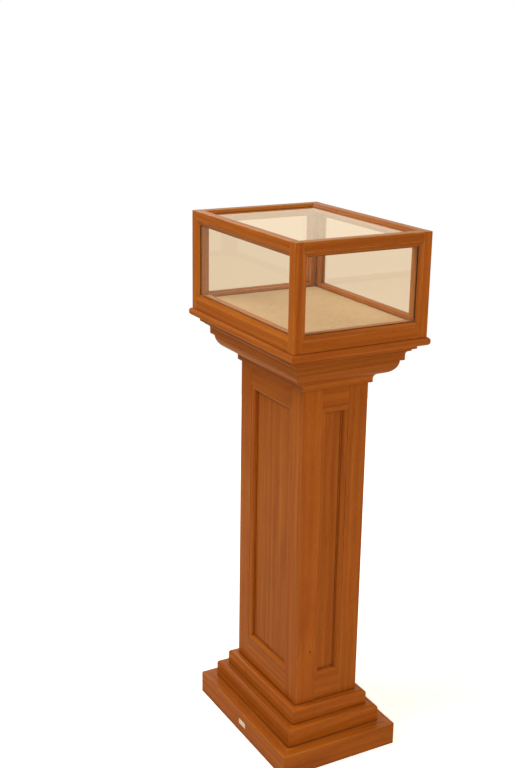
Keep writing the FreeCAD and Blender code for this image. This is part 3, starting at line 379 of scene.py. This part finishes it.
def label_paper():
    """Plain white paper, mottled a little yellow."""
    material, graph, shader = new_material("label_paper")
    mottle = graph.noise(object_place(graph), (420.0, 420.0, 420.0), detail=4.0, roughness=0.7)
    mottle = graph.remap(mottle, 0.3, 0.7)
    graph.fill(shader, {
        "Base Color": graph.mix(mottle, srgb("e9e2d4"), srgb("f6f2e9")), "Roughness": 0.75,
        "Normal": bumped(graph, mottle, 0.2, 0.0001)})
    return material


def pin_knot():
    """The dark heart of a small knot, ringed with rays."""
    material, graph, shader = new_material("pin_knot")
    rays = graph.noise(object_place(graph), (1800.0, 1800.0, 700.0), detail=3.0)
    rays = graph.remap(rays, 0.35, 0.65)
    graph.fill(shader, {
        "Base Color": graph.mix(rays, srgb("2c1207"), srgb("5a2a10")),
        "Roughness": graph.remap(rays, 0.0, 1.0, 0.45, 0.6), "Specular IOR Level": 0.1,
        "Normal": bumped(graph, rays, 0.3, 0.0001)})
    return material


FLOOR_BOUNCE = (0.80, 0.62, 0.40, 1.0)
FLOOR_SEEN = (0.93, 0.92, 0.90, 1.0)
FLOOR_GLOW = (0.94, 0.97, 1.0, 1.0)


def floor_finish():
    """A pale floor that looks almost white, but throws a warm light back on the object."""
    material, graph, shader = new_material("pale_floor")
    drift = graph.noise(object_place(graph), (2.0, 2.0, 2.0), detail=3.0)
    seen = graph.add("ShaderNodeLightPath").outputs["Is Camera Ray"]
    tone = graph.mix(seen, FLOOR_BOUNCE, FLOOR_SEEN)
    graph.fill(shader, {
        "Base Color": graph.scale(tone, graph.remap(drift, 0.2, 0.8, 0.985, 1.0)),
        "Roughness": 0.8, "Specular IOR Level": 0.1,
        "Emission Color": FLOOR_GLOW, "Emission Strength": graph.math("MULTIPLY", seen, 0.52)})
    return material


# ------------------------------------------------------------------ solids of a CAD node

WELD = 1e5      # corners nearer than 1 / WELD are one


def shells(node):
    """The solids of a CAD node, each as a closed mesh.

    A node is loose triangles, solid after solid, so a solid is whole when every edge has met its
    partner, which runs the other way.
    """
    mesh = NODES[node].data
    found = []
    loose = set()
    for face in mesh.polygons:
        corners = [mesh.vertices[index].co for index in face.vertices]
        keys = [tuple(round(value * WELD) for value in corner) for corner in corners]
        if not loose:
            solid = bmesh.new()
            made = {}
            found.append(solid)
        if len(set(keys)) < len(keys):
            continue
        for key, corner in zip(keys, corners):
            if key not in made:
                made[key] = solid.verts.new(corner)
        solid.faces.new([made[key] for key in keys])
        for edge in zip(keys, keys[1:] + keys[:1]):
            if edge[::-1] in loose:
                loose.remove(edge[::-1])
            else:
                loose.add(edge)
    return found


def box_of(points):
    low = Vector(min(point[axis] for point in points) for axis in range(3))
    high = Vector(max(point[axis] for point in points) for axis in range(3))
    return low, high


def solid_boxes(node):
    boxes = []
    for solid in shells(node):
        boxes.append(box_of([vertex.co for vertex in solid.verts]))
        solid.free()
    return boxes


# ------------------------------------------------------------------ pieces

def placed(name, data):
    """A new object at the origin of the scene."""
    thing = bpy.data.objects.new(name, data)
    bpy.context.scene.collection.objects.link(thing)
    return thing


def add_piece(name, mesh, node_or_body, slot=None, replaces=()):
    """Puts a finished mesh in the scene and makes it ride on its body."""
    piece = placed(name, mesh)
    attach(piece, BODY_OF.get(node_or_body, node_or_body))
    if replaces:
        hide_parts(*replaces)
    return piece


def settled(piece):
    """A plain mesh of what an object's modifiers make. The object itself is removed."""
    bpy.context.view_layer.update()
    graph = bpy.context.evaluated_depsgraph_get()
    mesh = bpy.data.meshes.new_from_object(piece.evaluated_get(graph), depsgraph=graph)
    draft = piece.data
    bpy.data.objects.remove(piece)
    if isinstance(draft, bpy.types.Mesh):
        bpy.data.meshes.remove(draft)
    return mesh


def mesh_of(built, name, finish):
    """The mesh of a finished bmesh, which is freed."""
    mesh = bpy.data.meshes.new(name)
    built.to_mesh(mesh)
    built.free()
    mesh.materials.append(finish)
    return mesh


def shade_smooth(built):
    for face in built.faces:
        face.smooth = True


def thickened(mesh, thickness):
    """A sheet's mesh given its thickness, inwards from the side it shows."""
    draft = placed(mesh.name, mesh)
    thick = draft.modifiers.new("thickness", "SOLIDIFY")
    thick.thickness = thickness
    thick.offset = -1
    return settled(draft)


# ------------------------------------------------------------------ joinery with eased edges

COPLANAR = math.radians(0.4)
EASED = 0.0005                       # width of an eased arris
EASED_FROM = math.radians(24)        # edges sharper than this are eased
MOULDED_FROM = math.radians(50)      # the same, on members with rounded faces
END_FACING = 0.8                     # a face that looks along the grain is end grain
TONE_SPREAD = 0.07                   # how much boards differ in brightness
PITH_SPREAD = 0.16                   # how far a board may lie from the heart of its tree
TREE_LENGTH = 5                      # how far along its tree a board may be cut, either way
BOARD_TONES_AND_SHADE = {                            # boards that are paler than the rest, or darker; the ovolo and cornice mouldings are darkened as painted shade under the tray
    "case_post_front_right": 0.13, "upper_step_short": 0.05, "case_top_rails_side": -0.08,
    # painted shade: the mouldings under the tray are made darker
    "ovolo_moulding_short": -0.14, "cornice_moulding_short": -0.14, "cornice_moulding_long": -0.08,
    "tray_board": -0.03}
ACROSS_FACE = ("column_rails_short",)        # rails shorter than they are high
LIPPED = ("tray_board", "capital_board")     # their ends are lipped with long grain
LIPPING_FACING = 0.3

BOARD_ATTRIBUTES = (
    ("board_at", "FLOAT_VECTOR", "CORNER"), ("board_tone", "FLOAT", "FACE"),
    ("arris", "FLOAT", "FACE"), ("end_grain", "FLOAT", "FACE"))
MOULDED = ("lower_step", "upper_step", "necking", "ovolo", "cornice", "panel_moulding", "tray", "beads")


def islands(mesh):
    """The vertices of each connected part of a mesh, and the part that each vertex belongs to."""
    edited = bmesh.new()
    edited.from_mesh(mesh)
    edited.verts.ensure_lookup_table()
    part_of = {}
    parts = []
    for start in edited.verts:
        if start.index in part_of:
            continue
        part_of[start.index] = len(parts)
        waiting = [start]
        members = []
        while waiting:
            vertex = waiting.pop()
            members.append(vertex.index)
            for edge in vertex.link_edges:
                other = edge.other_vert(vertex)
                if other.index not in part_of:
                    part_of[other.index] = len(parts)
                    waiting.append(other)
        parts.append(members)
    edited.free()
    return parts, part_of


def add_board_attributes(mesh, name):
    """Coordinates that follow each board's grain, its tone, its arrises and its end grain."""
    parts, part_of = islands(mesh)
    for label, kind, domain in BOARD_ATTRIBUTES:     # all made first: a new one moves the others
        mesh.attributes.new(label, kind, domain)
    place, tone, arris, end_grain = (mesh.attributes[label] for label, kind, domain in BOARD_ATTRIBUTES)
    boards = []
    for number, members in enumerate(parts):
        draw = random.Random(f"{name} {number}")
        low, high = box_of([mesh.vertices[index].co for index in members])
        size = high - low
        order = sorted(range(3), key=lambda axis: size[axis])
        if name in ACROSS_FACE:
            order[1:] = reversed(order[1:])
        through, across, along = order
        heart = Vector((
            draw.uniform(-PITH_SPREAD, PITH_SPREAD), draw.uniform(0.5, 1.0) * PITH_SPREAD,
            draw.uniform(-TREE_LENGTH, TREE_LENGTH)))
        # a random tone, plus the listed boards' tone and painted shade
        board_tone = draw.uniform(-TONE_SPREAD, TONE_SPREAD) + BOARD_TONES_AND_SHADE.get(name, 0.0)
        boards.append((low, high, (across, through, along), heart, board_tone))
    lipped = name in LIPPED
    for face in mesh.polygons:
        low, high, order, heart, board_tone = boards[part_of[face.vertices[0]]]
        across, through, along = order
        ends_board = abs(face.normal[along]) > END_FACING
        if lipped and abs(face.normal[along]) > LIPPING_FACING:
            across, along = along, across
        middle = (low + high) / 2
        for loop in face.loop_indices:
            local = mesh.vertices[mesh.loops[loop].vertex_index].co - middle
            place.data[loop].vector = Vector((local[across], local[through], local[along])) + heart
        tone.data[face.index].value = board_tone
        arris.data[face.index].value = float(face.material_index == 1)
        end_grain.data[face.index].value = float(ends_board and not lipped)
        face.material_index = 0


def eased_joinery(node, finish):
    """A CAD node's boards with their arrises eased, each with grain along its own length."""
    joined = bmesh.new()
    scratch = bpy.data.meshes.new(node + "_solid")
    for solid in shells(node):
        bmesh.ops.dissolve_limit(
            solid, angle_limit=COPLANAR, verts=solid.verts, edges=solid.edges,
            use_dissolve_boundaries=False)
        solid.to_mesh(scratch)
        joined.from_mesh(scratch)
        solid.free()
    shade_smooth(joined)
    joined.to_mesh(scratch)
    joined.free()
    scratch.materials.append(finish)
    scratch.materials.append(finish)     # a second slot, by which the eased arrises are known
    draft = placed(node + "_draft", scratch)
    moulded = any(word in node for word in MOULDED)
    ease = draft.modifiers.new("ease", "BEVEL")
    ease.width = EASED
    ease.segments = 2
    ease.limit_method = "ANGLE"
    ease.angle_limit = MOULDED_FROM if moulded else EASED_FROM
    ease.material = 1
    shade = draft.modifiers.new("shade", "WEIGHTED_NORMAL")
    shade.keep_sharp = True
    mesh = settled(draft)
    mesh.name = node + "_eased"
    add_board_attributes(mesh, node)
    mesh.materials.pop(index=1)
    return add_piece(node + "_eased", mesh, node, SLOT_OF[node], (node,))


# ------------------------------------------------------------------ turned heads, pins and screws

HEAD_RINGS = 14
CROWN_TIP = 0.04             # what is left of the radius at the crown's top


def turned_head_group():
    """A turned metal head that stands on its base along Z, its crown an ellipse."""
    group, graph, given, out = new_group(
        "turned_head", "GeometryNodeTree",
        [("Radius", "NodeSocketFloat", 0.002), ("Length", "NodeSocketFloat", 0.002),
         ("Straight share", "NodeSocketFloat", 0.5), ("Facets", "NodeSocketInt", 24)],
        [("Head", "NodeSocketGeometry")])
    top = graph.add("ShaderNodeCombineXYZ", {"Z": given["Length"]}).outputs["Vector"]
    line = graph.add("GeometryNodeCurvePrimitiveLine", {"End": top}).outputs["Curve"]
    rings = graph.add("GeometryNodeResampleCurve", {"Curve": line, "Count": HEAD_RINGS}).outputs["Curve"]
    rise = graph.add("GeometryNodeSplineParameter").outputs["Factor"]
    crown = graph.remap(rise, given["Straight share"], 1.0)
    fall = graph.math("SQRT", graph.math("SUBTRACT", 1.0, graph.math("MULTIPLY", crown, crown)))
    kept = graph.math("MAXIMUM", fall, CROWN_TIP)
    circle = graph.add("GeometryNodeCurvePrimitiveCircle", {
        "Resolution": given["Facets"], "Radius": given["Radius"]}).outputs["Curve"]
    head = graph.add("GeometryNodeCurveToMesh", {
        "Curve": rings, "Profile Curve": circle, "Scale": kept, "Fill Caps": True})
    graph.feed(out["Head"], head.outputs["Mesh"])
    return group


def ended(graph, geometry, given, out):
    """Realises the copies and gives them their finish, as each tree's last step."""
    real = graph.add("GeometryNodeRealizeInstances", {"Geometry": geometry}).outputs["Geometry"]
    painted = graph.add("GeometryNodeSetMaterial", {"Geometry": real, "Material": given["Finish"]})
    graph.feed(out["Geometry"], painted.outputs["Geometry"])


def facing_rotation(graph):
    """The turn that stands a copy on its point's facing."""
    facing = graph.add("GeometryNodeInputNamedAttribute", {"Name": "facing"}, data_type="FLOAT_VECTOR")
    turn = graph.add("FunctionNodeAlignRotationToVector", {
        "Vector": facing.outputs["Attribute"]}, axis="Z")
    return turn.outputs["Rotation"]


def stud_tree(turned_head):
    """Round studs, one on each point."""
    group, graph, given, out = new_group(
        "studs", "GeometryNodeTree",
        [("Geometry", "NodeSocketGeometry", None), ("Radius", "NodeSocketFloat", 0.0035),
         ("Length", "NodeSocketFloat", 0.004), ("Finish", "NodeSocketMaterial", None)],
        [("Geometry", "NodeSocketGeometry")])
    head = graph.use(turned_head, {"Radius": given["Radius"], "Length": given["Length"]})
    studs = graph.add("GeometryNodeInstanceOnPoints", {
        "Points": given["Geometry"], "Instance": head["Head"], "Rotation": facing_rotation(graph)})
    ended(graph, studs.outputs["Instances"], given, out)
    return group


RANDOM_MOST, RANDOM_VALUE = 3, 1     # a Random Value node's sockets for plain numbers


def screw_tree(turned_head):
    """Slotted screw heads, each slot left at its own angle."""
    group, graph, given, out = new_group(
        "slotted_screws", "GeometryNodeTree",
        [("Geometry", "NodeSocketGeometry", None), ("Radius", "NodeSocketFloat", 0.0016),
         ("Length", "NodeSocketFloat", 0.0009), ("Slot width", "NodeSocketFloat", 0.0005),
         ("Slot depth", "NodeSocketFloat", 0.0005), ("Seed", "NodeSocketInt", 7),
         ("Finish", "NodeSocketMaterial", None)],
        [("Geometry", "NodeSocketGeometry")])
    head = graph.use(turned_head, {
        "Radius": given["Radius"], "Length": given["Length"], "Straight share": 0.72})
    size = graph.add("ShaderNodeCombineXYZ", {
        "X": graph.math("MULTIPLY", given["Radius"], 3.0), "Y": given["Slot width"],
        "Z": graph.math("MULTIPLY", given["Slot depth"], 2.0)}).outputs["Vector"]
    cutter = graph.add("GeometryNodeMeshCube", {"Size": size}).outputs["Mesh"]
    lift = graph.add("ShaderNodeCombineXYZ", {"Z": given["Length"]}).outputs["Vector"]
    raised = graph.add("GeometryNodeTransform", {"Geometry": cutter, "Translation": lift})
    slotted = graph.add("GeometryNodeMeshBoolean", {
        0: head["Head"], 1: raised.outputs["Geometry"]}, operation="DIFFERENCE")
    angle = graph.add("FunctionNodeRandomValue", {
        RANDOM_MOST: math.tau, "Seed": given["Seed"]}, data_type="FLOAT")
    spin = graph.add("FunctionNodeAxisAngleToRotation", {
        "Axis": (0.0, 0.0, 1.0), "Angle": angle.outputs[RANDOM_VALUE]})
    turn = graph.add("FunctionNodeRotateRotation", {
        "Rotation": facing_rotation(graph), "Rotate By": spin.outputs["Rotation"]}, rotation_space="LOCAL")
    screws = graph.add("GeometryNodeInstanceOnPoints", {
        "Points": given["Geometry"], "Instance": slotted.outputs["Mesh"],
        "Rotation": turn.outputs["Rotation"]})
    ended(graph, screws.outputs["Instances"], given, out)
    return group


def pin_tree():
    """Round pin heads, evenly spaced along each line."""
    group, graph, given, out = new_group(
        "bead_pins", "GeometryNodeTree",
        [("Geometry", "NodeSocketGeometry", None), ("Spacing", "NodeSocketFloat", 0.07),
         ("Radius", "NodeSocketFloat", 0.0007), ("Finish", "NodeSocketMaterial", None)],
        [("Geometry", "NodeSocketGeometry")])
    lines = graph.add("GeometryNodeMeshToCurve", {"Mesh": given["Geometry"]}).outputs["Curve"]
    spaced = graph.add("GeometryNodeResampleCurve", {
        "Curve": lines, "Length": given["Spacing"]}, mode="LENGTH").outputs["Curve"]
    head = graph.add("GeometryNodeMeshIcoSphere", {
        "Radius": given["Radius"], "Subdivisions": 2}).outputs["Mesh"]
    pins = graph.add("GeometryNodeInstanceOnPoints", {"Points": spaced, "Instance": head})
    ended(graph, pins.outputs["Instances"], given, out)
    return group


def grown(name, mesh, group, inputs):
    """The plain mesh that a geometry tree makes from a starting mesh."""
    draft = placed(name, mesh)
    modifier = draft.modifiers.new("tree", "NODES")
    modifier.node_group = group
    for item in group.interface.items_tree:
        if item.item_type == "SOCKET" and item.in_out == "INPUT" and item.name in inputs:
            modifier[item.identifier] = inputs[item.name]
    return settled(draft)


def points_mesh(name, places):
    """Loose points, each with the direction it faces."""
    mesh = bpy.data.meshes.new(name)
    mesh.from_pydata([place for place, facing in places], [], [])
    facing = mesh.attributes.new("facing", "FLOAT_VECTOR", "POINT")
    for index, (place, direction) in enumerate(places):
        facing.data[index].vector = direction
    return mesh


def facing_places(node, direction_of):
    """Where each solid of a node stands, and which way it faces, from the side it grows from."""
    places = []
    for low, high in solid_boxes(node):
        middle = (low + high) / 2
        direction = direction_of(middle)
        half = abs((high - low).dot(direction)) / 2
        places.append((middle - direction * half, direction))
    return places


def make_heads(node, suffix, tree, finish, direction_of):
    """Stands the tree's heads where a node's solids are, in their place."""
    places = facing_places(node, direction_of)
    mesh = grown(node + "_draft", points_mesh(node + "_points", places), tree, {"Finish": finish})
    add_piece(node + suffix, mesh, node, SLOT_OF[node], (node,))


def make_screws(tree, finish):
    make_heads("hinge_case_screws", "_slotted", tree, finish, lambda middle: -AXES[0])
    make_heads("hinge_door_screws", "_slotted", tree, finish, lambda middle: AXES[0])


def make_stops(tree, finish):
    make_heads("door_stops", "_turned", tree, finish, lambda middle: -math.copysign(1, middle.x) * AXES[0])


PIN_MARGIN = 0.032       # from the bead's end to its first pin
PIN_SINK = 0.0004        # how far a head's middle lies under the bead's face
BEADS_TO_A_PANE = 4


def pin_lines(node):
    """One line for each bead of a node, on the face that looks into the opening."""
    boxes = solid_boxes(node)
    lines = []
    for first in range(0, len(boxes), BEADS_TO_A_PANE):
        frame_beads = boxes[first:first + BEADS_TO_A_PANE]
        opening = sum(((low + high) / 2 for low, high in frame_beads), Vector()) / BEADS_TO_A_PANE
        for low, high in frame_beads:
            middle = (low + high) / 2
            size = high - low
            along = AXES[max(range(3), key=lambda axis: size[axis])]
            inward = opening - middle
            face = AXES[max(range(3), key=lambda axis: abs(inward[axis]))]
            face = face * math.copysign(1, inward.dot(face))
            start = middle + face * (abs(size.dot(face)) / 2 - PIN_SINK)
            reach = along * (size.dot(along) / 2 - PIN_MARGIN)
            lines.append((start - reach, start + reach))
    return lines


def make_bead_pins(tree, finish):
    """The pins that hold each glazing bead, one piece for each frame."""
    for node in ("wall_glazing_beads", "top_glazing_beads", "door_glazing_beads"):
        lines = pin_lines(node)
        mesh = bpy.data.meshes.new(node + "_lines")
        ends = [end for line in lines for end in line]
        mesh.from_pydata(ends, [(2 * index, 2 * index + 1) for index in range(len(lines))], [])
        pins = grown(node + "_draft", mesh, tree, {"Finish": finish})
        add_piece(node.replace("glazing_beads", "bead_pins"), pins, node, "polished_brass")


# ------------------------------------------------------------------ cloth and label

CLOTH_THICKNESS = 0.0012
CLOTH_TURN = 0.0022          # radius of the cloth over the board's edge
CLOTH_LIFT = 0.00035         # how much the cloth rises and falls on the board
TAUT_RIM = 0.02              # the cloth lies taut from here to the board's edge
RIPPLES_PER_METRE = 14
RIPPLE_LAYER = 0.3           # which slice of the noise is used
TURN_STEPS = 4               # faces round the board's edge
CLOTH_COLUMNS, CLOTH_ROWS = 66, 48


def make_deck_cloth(finish):
    """The cloth stretched over the deck board and turned down over its edges."""
    low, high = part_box("deck_cloth")
    size = high - low
    middle = (low + high) / 2
    flat_half = Vector((size.x / 2 - CLOTH_TURN, size.y / 2 - CLOTH_TURN))
    profile = []         # (outwards, down, length of cloth) from the edge of the flat top
    for step in range(1, TURN_STEPS + 1):
        angle = math.pi / 2 * step / TURN_STEPS
        profile.append((
            CLOTH_TURN * math.sin(angle), CLOTH_TURN * (1 - math.cos(angle)), CLOTH_TURN * angle))
    drop = size.z
    skirt_length = CLOTH_TURN * math.pi / 2 + drop - CLOTH_TURN
    profile.append((CLOTH_TURN, drop, skirt_length))

    def edged(half, count):
        """(place outwards, down, cloth coordinate) of every line of threads on one axis."""
        before = [(-half - out, down, -half - length) for out, down, length in reversed(profile)]
        after = [(half + out, down, half + length) for out, down, length in profile]
        steps = [-half + 2 * half * number / count for number in range(count + 1)]
        return before + [(step, 0.0, step) for step in steps] + after

    lines_x = edged(flat_half.x, CLOTH_COLUMNS)
    lines_y = edged(flat_half.y, CLOTH_ROWS)
    skirt = len(profile)
    cloth = bmesh.new()
    cut = cloth.loops.layers.uv.new(CUT_PLAN)
    grid = {}
    for i, (x, down_x, u) in enumerate(lines_x):
        for j, (y, down_y, v) in enumerate(lines_y):
            beyond_x = i < skirt or i >= len(lines_x) - skirt
            beyond_y = j < skirt or j >= len(lines_y) - skirt
            if beyond_x and beyond_y and down_x != down_y:
                continue     # the corners are cut out
            lift = 0.0
            if not (beyond_x or beyond_y):
                slack = min(1, min(flat_half.x - abs(x), flat_half.y - abs(y)) / TAUT_RIM)
                ripple = noise.noise(Vector((x, y, RIPPLE_LAYER)) * RIPPLES_PER_METRE) - 1
                lift = CLOTH_LIFT * slack * ripple
            place = Vector((middle.x + x, middle.y + y, high.z - max(down_x, down_y) + lift))
            grid[i, j] = (cloth.verts.new(place), (u, v))

    for i in range(len(lines_x) - 1):
        for j in range(len(lines_y) - 1):
            beyond_x = i < skirt or i >= len(lines_x) - 1 - skirt
            beyond_y = j < skirt or j >= len(lines_y) - 1 - skirt
            if beyond_x and beyond_y:
                continue
            around = [(i, j), (i + 1, j), (i + 1, j + 1), (i, j + 1)]
            face = cloth.faces.new([grid[key][0] for key in around])
            face.smooth = True
            for loop, key in zip(face.loops, around):
                loop[cut].uv = grid[key][1]
    mesh = thickened(mesh_of(cloth, "deck_cloth_draft", finish), CLOTH_THICKNESS)
    cover = add_piece("deck_cloth_stretched", mesh, "deck_cloth", SLOT_OF["deck_cloth"], ("deck_cloth",))


LABEL_SIZE = (0.030, 0.013)
LABEL_THICKNESS = 0.00018
LABEL_MIDDLE = (0.008, 0.0275)       # right of the middle, above the floor
LABEL_CURL = 0.0024                  # steepness of the lifting corner
LABEL_CURLS_FROM = 0.55              # where the lift starts, on the way from the middle to the corner at 1


def make_label(finish):
    """A small blank paper label on the base's front face, one corner lifting."""
    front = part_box("base_boards_long")[0].y
    label = bmesh.new()
    bmesh.ops.create_grid(label, x_segments=20, y_segments=12, size=0.5)
    for vertex in label.verts:
        across, up = vertex.co.x, vertex.co.y
        lifted = max(0.0, across + up - LABEL_CURLS_FROM) ** 2 * LABEL_CURL
        vertex.co = Vector((
            LABEL_MIDDLE[0] + across * LABEL_SIZE[0], front - LABEL_THICKNESS - lifted,
            LABEL_MIDDLE[1] + up * LABEL_SIZE[1]))
    shade_smooth(label)
    add_piece("blank_label", thickened(mesh_of(label, "label_draft", finish), LABEL_THICKNESS), ROOT)


KNOT_AT = (-0.0464, 0.2588)          # on the right face's front stile
KNOT_SIZE = (0.0016, 0.0027)         # its radii across and up
KNOT_RISE = 0.00012
KNOT_RINGS, KNOT_FACETS = 3, 20
KNOT_LOBES, KNOT_UNEVEN, KNOT_TURN = 3, 0.12, 0.7


def make_knot(finish):
    """A small dark knot in the right face's front stile."""
    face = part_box("column_stiles_right")[1].x
    knot = bmesh.new()
    rows = []            # rings of vertices, the outermost first
    for ring in range(KNOT_RINGS, 0, -1):
        share = ring / KNOT_RINGS
        row = []
        for facet in range(KNOT_FACETS):
            angle = math.tau * facet / KNOT_FACETS
            reach = share * (1 + KNOT_UNEVEN * math.sin(KNOT_LOBES * angle + KNOT_TURN))
            row.append(knot.verts.new((
                face + KNOT_RISE * (1 - share ** 4),
                KNOT_AT[0] + KNOT_SIZE[0] * reach * math.cos(angle),
                KNOT_AT[1] + KNOT_SIZE[1] * reach * math.sin(angle))))
        rows.append(row)
    heart = knot.verts.new((face + KNOT_RISE, *KNOT_AT))
    for facet in range(KNOT_FACETS):
        after = (facet + 1) % KNOT_FACETS
        for outer, inner in zip(rows, rows[1:]):
            knot.faces.new((outer[facet], outer[after], inner[after], inner[facet]))
        knot.faces.new((rows[-1][facet], rows[-1][after], heart))
    knot.faces.new(rows[0][::-1])
    shade_smooth(knot)
    add_piece("pin_knot_right_stile", mesh_of(knot, "pin_knot", finish), ROOT, "varnished_wood")


# ------------------------------------------------------------------ stage, light and camera

FLOOR_RADIUS = 2.6


def make_floor(finish):
    floor = bmesh.new()
    bmesh.ops.create_circle(floor, cap_ends=True, segments=96, radius=FLOOR_RADIUS)
    placed("studio_floor", mesh_of(floor, "floor", finish))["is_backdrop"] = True


def softbox(name, place, aim, size, power, colour):
    """A large soft lamp, which shows neither directly nor through the glass."""
    light = bpy.data.lights.new(name, "AREA")
    light.shape = "RECTANGLE"
    light.size, light.size_y = size
    light.energy = power
    light.color = colour
    lamp = placed(name, light)
    lamp.location = place
    lamp.rotation_euler = (Vector(aim) - Vector(place)).to_track_quat("-Z", "Y").to_euler()
    lamp.visible_camera = False
    lamp.visible_transmission = False


WHITE = (1.0, 1.0, 1.0)
CREAM = (1.0, 0.90, 0.76)
LAMPS = (                # name, place, what it aims at, size, watts, colour
    ("overhead_front", (-0.5, -1.8, 3.1), (0, 0, 0.5), (2.2, 1.8), 66, WHITE),
    ("right_fill", (2.8, -0.2, 1.6), (0, 0, 0.6), (1.4, 2.0), 27, WHITE),
    ("left_fill", (-2.8, 0.3, 1.6), (0, 0, 0.6), (1.4, 2.0), 16, WHITE),
    ("back_fill", (1.2, 3.0, 1.9), (0, 0, 0.6), (1.8, 1.8), 30, WHITE),
    ("window_behind", (-3.2, 1.9, 2.1), (0, 0, 1.1), (2.4, 2.4), 13, CREAM))
ROOM_LIGHT = (0.36, 0.285, 0.14, 1.0)
WALL_THROUGH_GLASS = (0.86, 0.66, 0.46, 1.0)


def make_light():
    """The soft lamps in a room that looks white, gives a dim warm light, and is cream through glass."""
    for lamp in LAMPS:
        softbox(*lamp)
    world = bpy.data.worlds.new("white_room")
    world.use_nodes = True
    graph = Graph(world.node_tree)
    background = world.node_tree.nodes["Background"]
    ray = graph.add("ShaderNodeLightPath").outputs
    room = graph.mix(ray["Is Transmission Ray"], ROOM_LIGHT, WALL_THROUGH_GLASS)
    graph.feed(background.inputs["Color"], graph.mix(ray["Is Camera Ray"], room, (*WHITE, 1.0)))
    bpy.context.scene.world = world
    bpy.context.scene.view_settings.view_transform = "Standard"


CAMERA_PLACE = (2.1459, -1.3075, 1.6219)
CAMERA_HEADING = math.radians(60.988)        # anticlockwise from +Y
CAMERA_DIP = math.radians(17.093)
CAMERA_ROLL = math.radians(0.820)
CAMERA_LENS = 54.92                          # on a sensor 36 mm wide


def make_camera():
    camera = bpy.data.cameras.new("camera")
    camera.lens = CAMERA_LENS
    holder = placed("camera", camera)
    level = Matrix.Rotation(math.pi / 2 - CAMERA_DIP, 4, "X")
    turned = Matrix.Rotation(CAMERA_HEADING, 4, "Z")
    rolled = Matrix.Rotation(CAMERA_ROLL, 4, "Z")
    holder.matrix_world = Matrix.Translation(CAMERA_PLACE) @ turned @ level @ rolled
    bpy.context.scene.camera = holder


# ------------------------------------------------------------------ the whole object

def paint(material, *nodes):
    for node in nodes:
        for slot in NODES[node].material_slots:
            slot.material = material


def make_object():
    """Every finish, and every piece that takes the place of a CAD node or joins it."""
    grain = grain_group()
    handling = handling_group()
    hardwood = varnished_wood(grain, handling)
    brass = metal("polished_brass", handling, srgb("d9ab5a"), srgb("9a6f34"), 0.16)
    nickel = metal("nickel_plate", handling, srgb("c9c8c4"), srgb("8f8d88"), 0.20)
    glass = clear_glass(handling)
    for node, slot in SLOT_OF.items():
        if slot == "varnished_wood":
            eased_joinery(node, hardwood)
    lengthwise = carcass_wood("carcass_lengthwise", grain, (0.0, math.pi / 2, 0.0))
    upright = carcass_wood("carcass_upright", grain, (0.0, 0.0, 0.0))
    crosswise = carcass_wood("carcass_crosswise", grain, (math.pi / 2, 0.0, 0.0))
    paint(lengthwise, "base_deck", "column_head_plate", "deck_board")
    paint(upright, "base_corner_blocks", "column_corner_blocks")
    paint(crosswise, "deck_cleats")
    paint(glass, "glass_front", "glass_sides", "glass_top", "door_glass")
    paint(brass, "hinge_case_leaves", "hinge_door_leaves")
    paint(nickel, "lock_barrel", "lock_cam", "lock_strike")
    head = turned_head_group()
    make_screws(screw_tree(head), brass)
    make_stops(stud_tree(head), brass)
    make_bead_pins(pin_tree(), brass)
    make_deck_cloth(woven_cloth())
    make_label(label_paper())
    make_knot(pin_knot())


make_camera()
make_light()
make_floor(floor_finish())
make_object()

bpy.context.view_layer.update()
boxes = {"cad": CAD_BOX, "visual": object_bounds()}
{name: [list(corner) for corner in box] for name, box in boxes.items()}
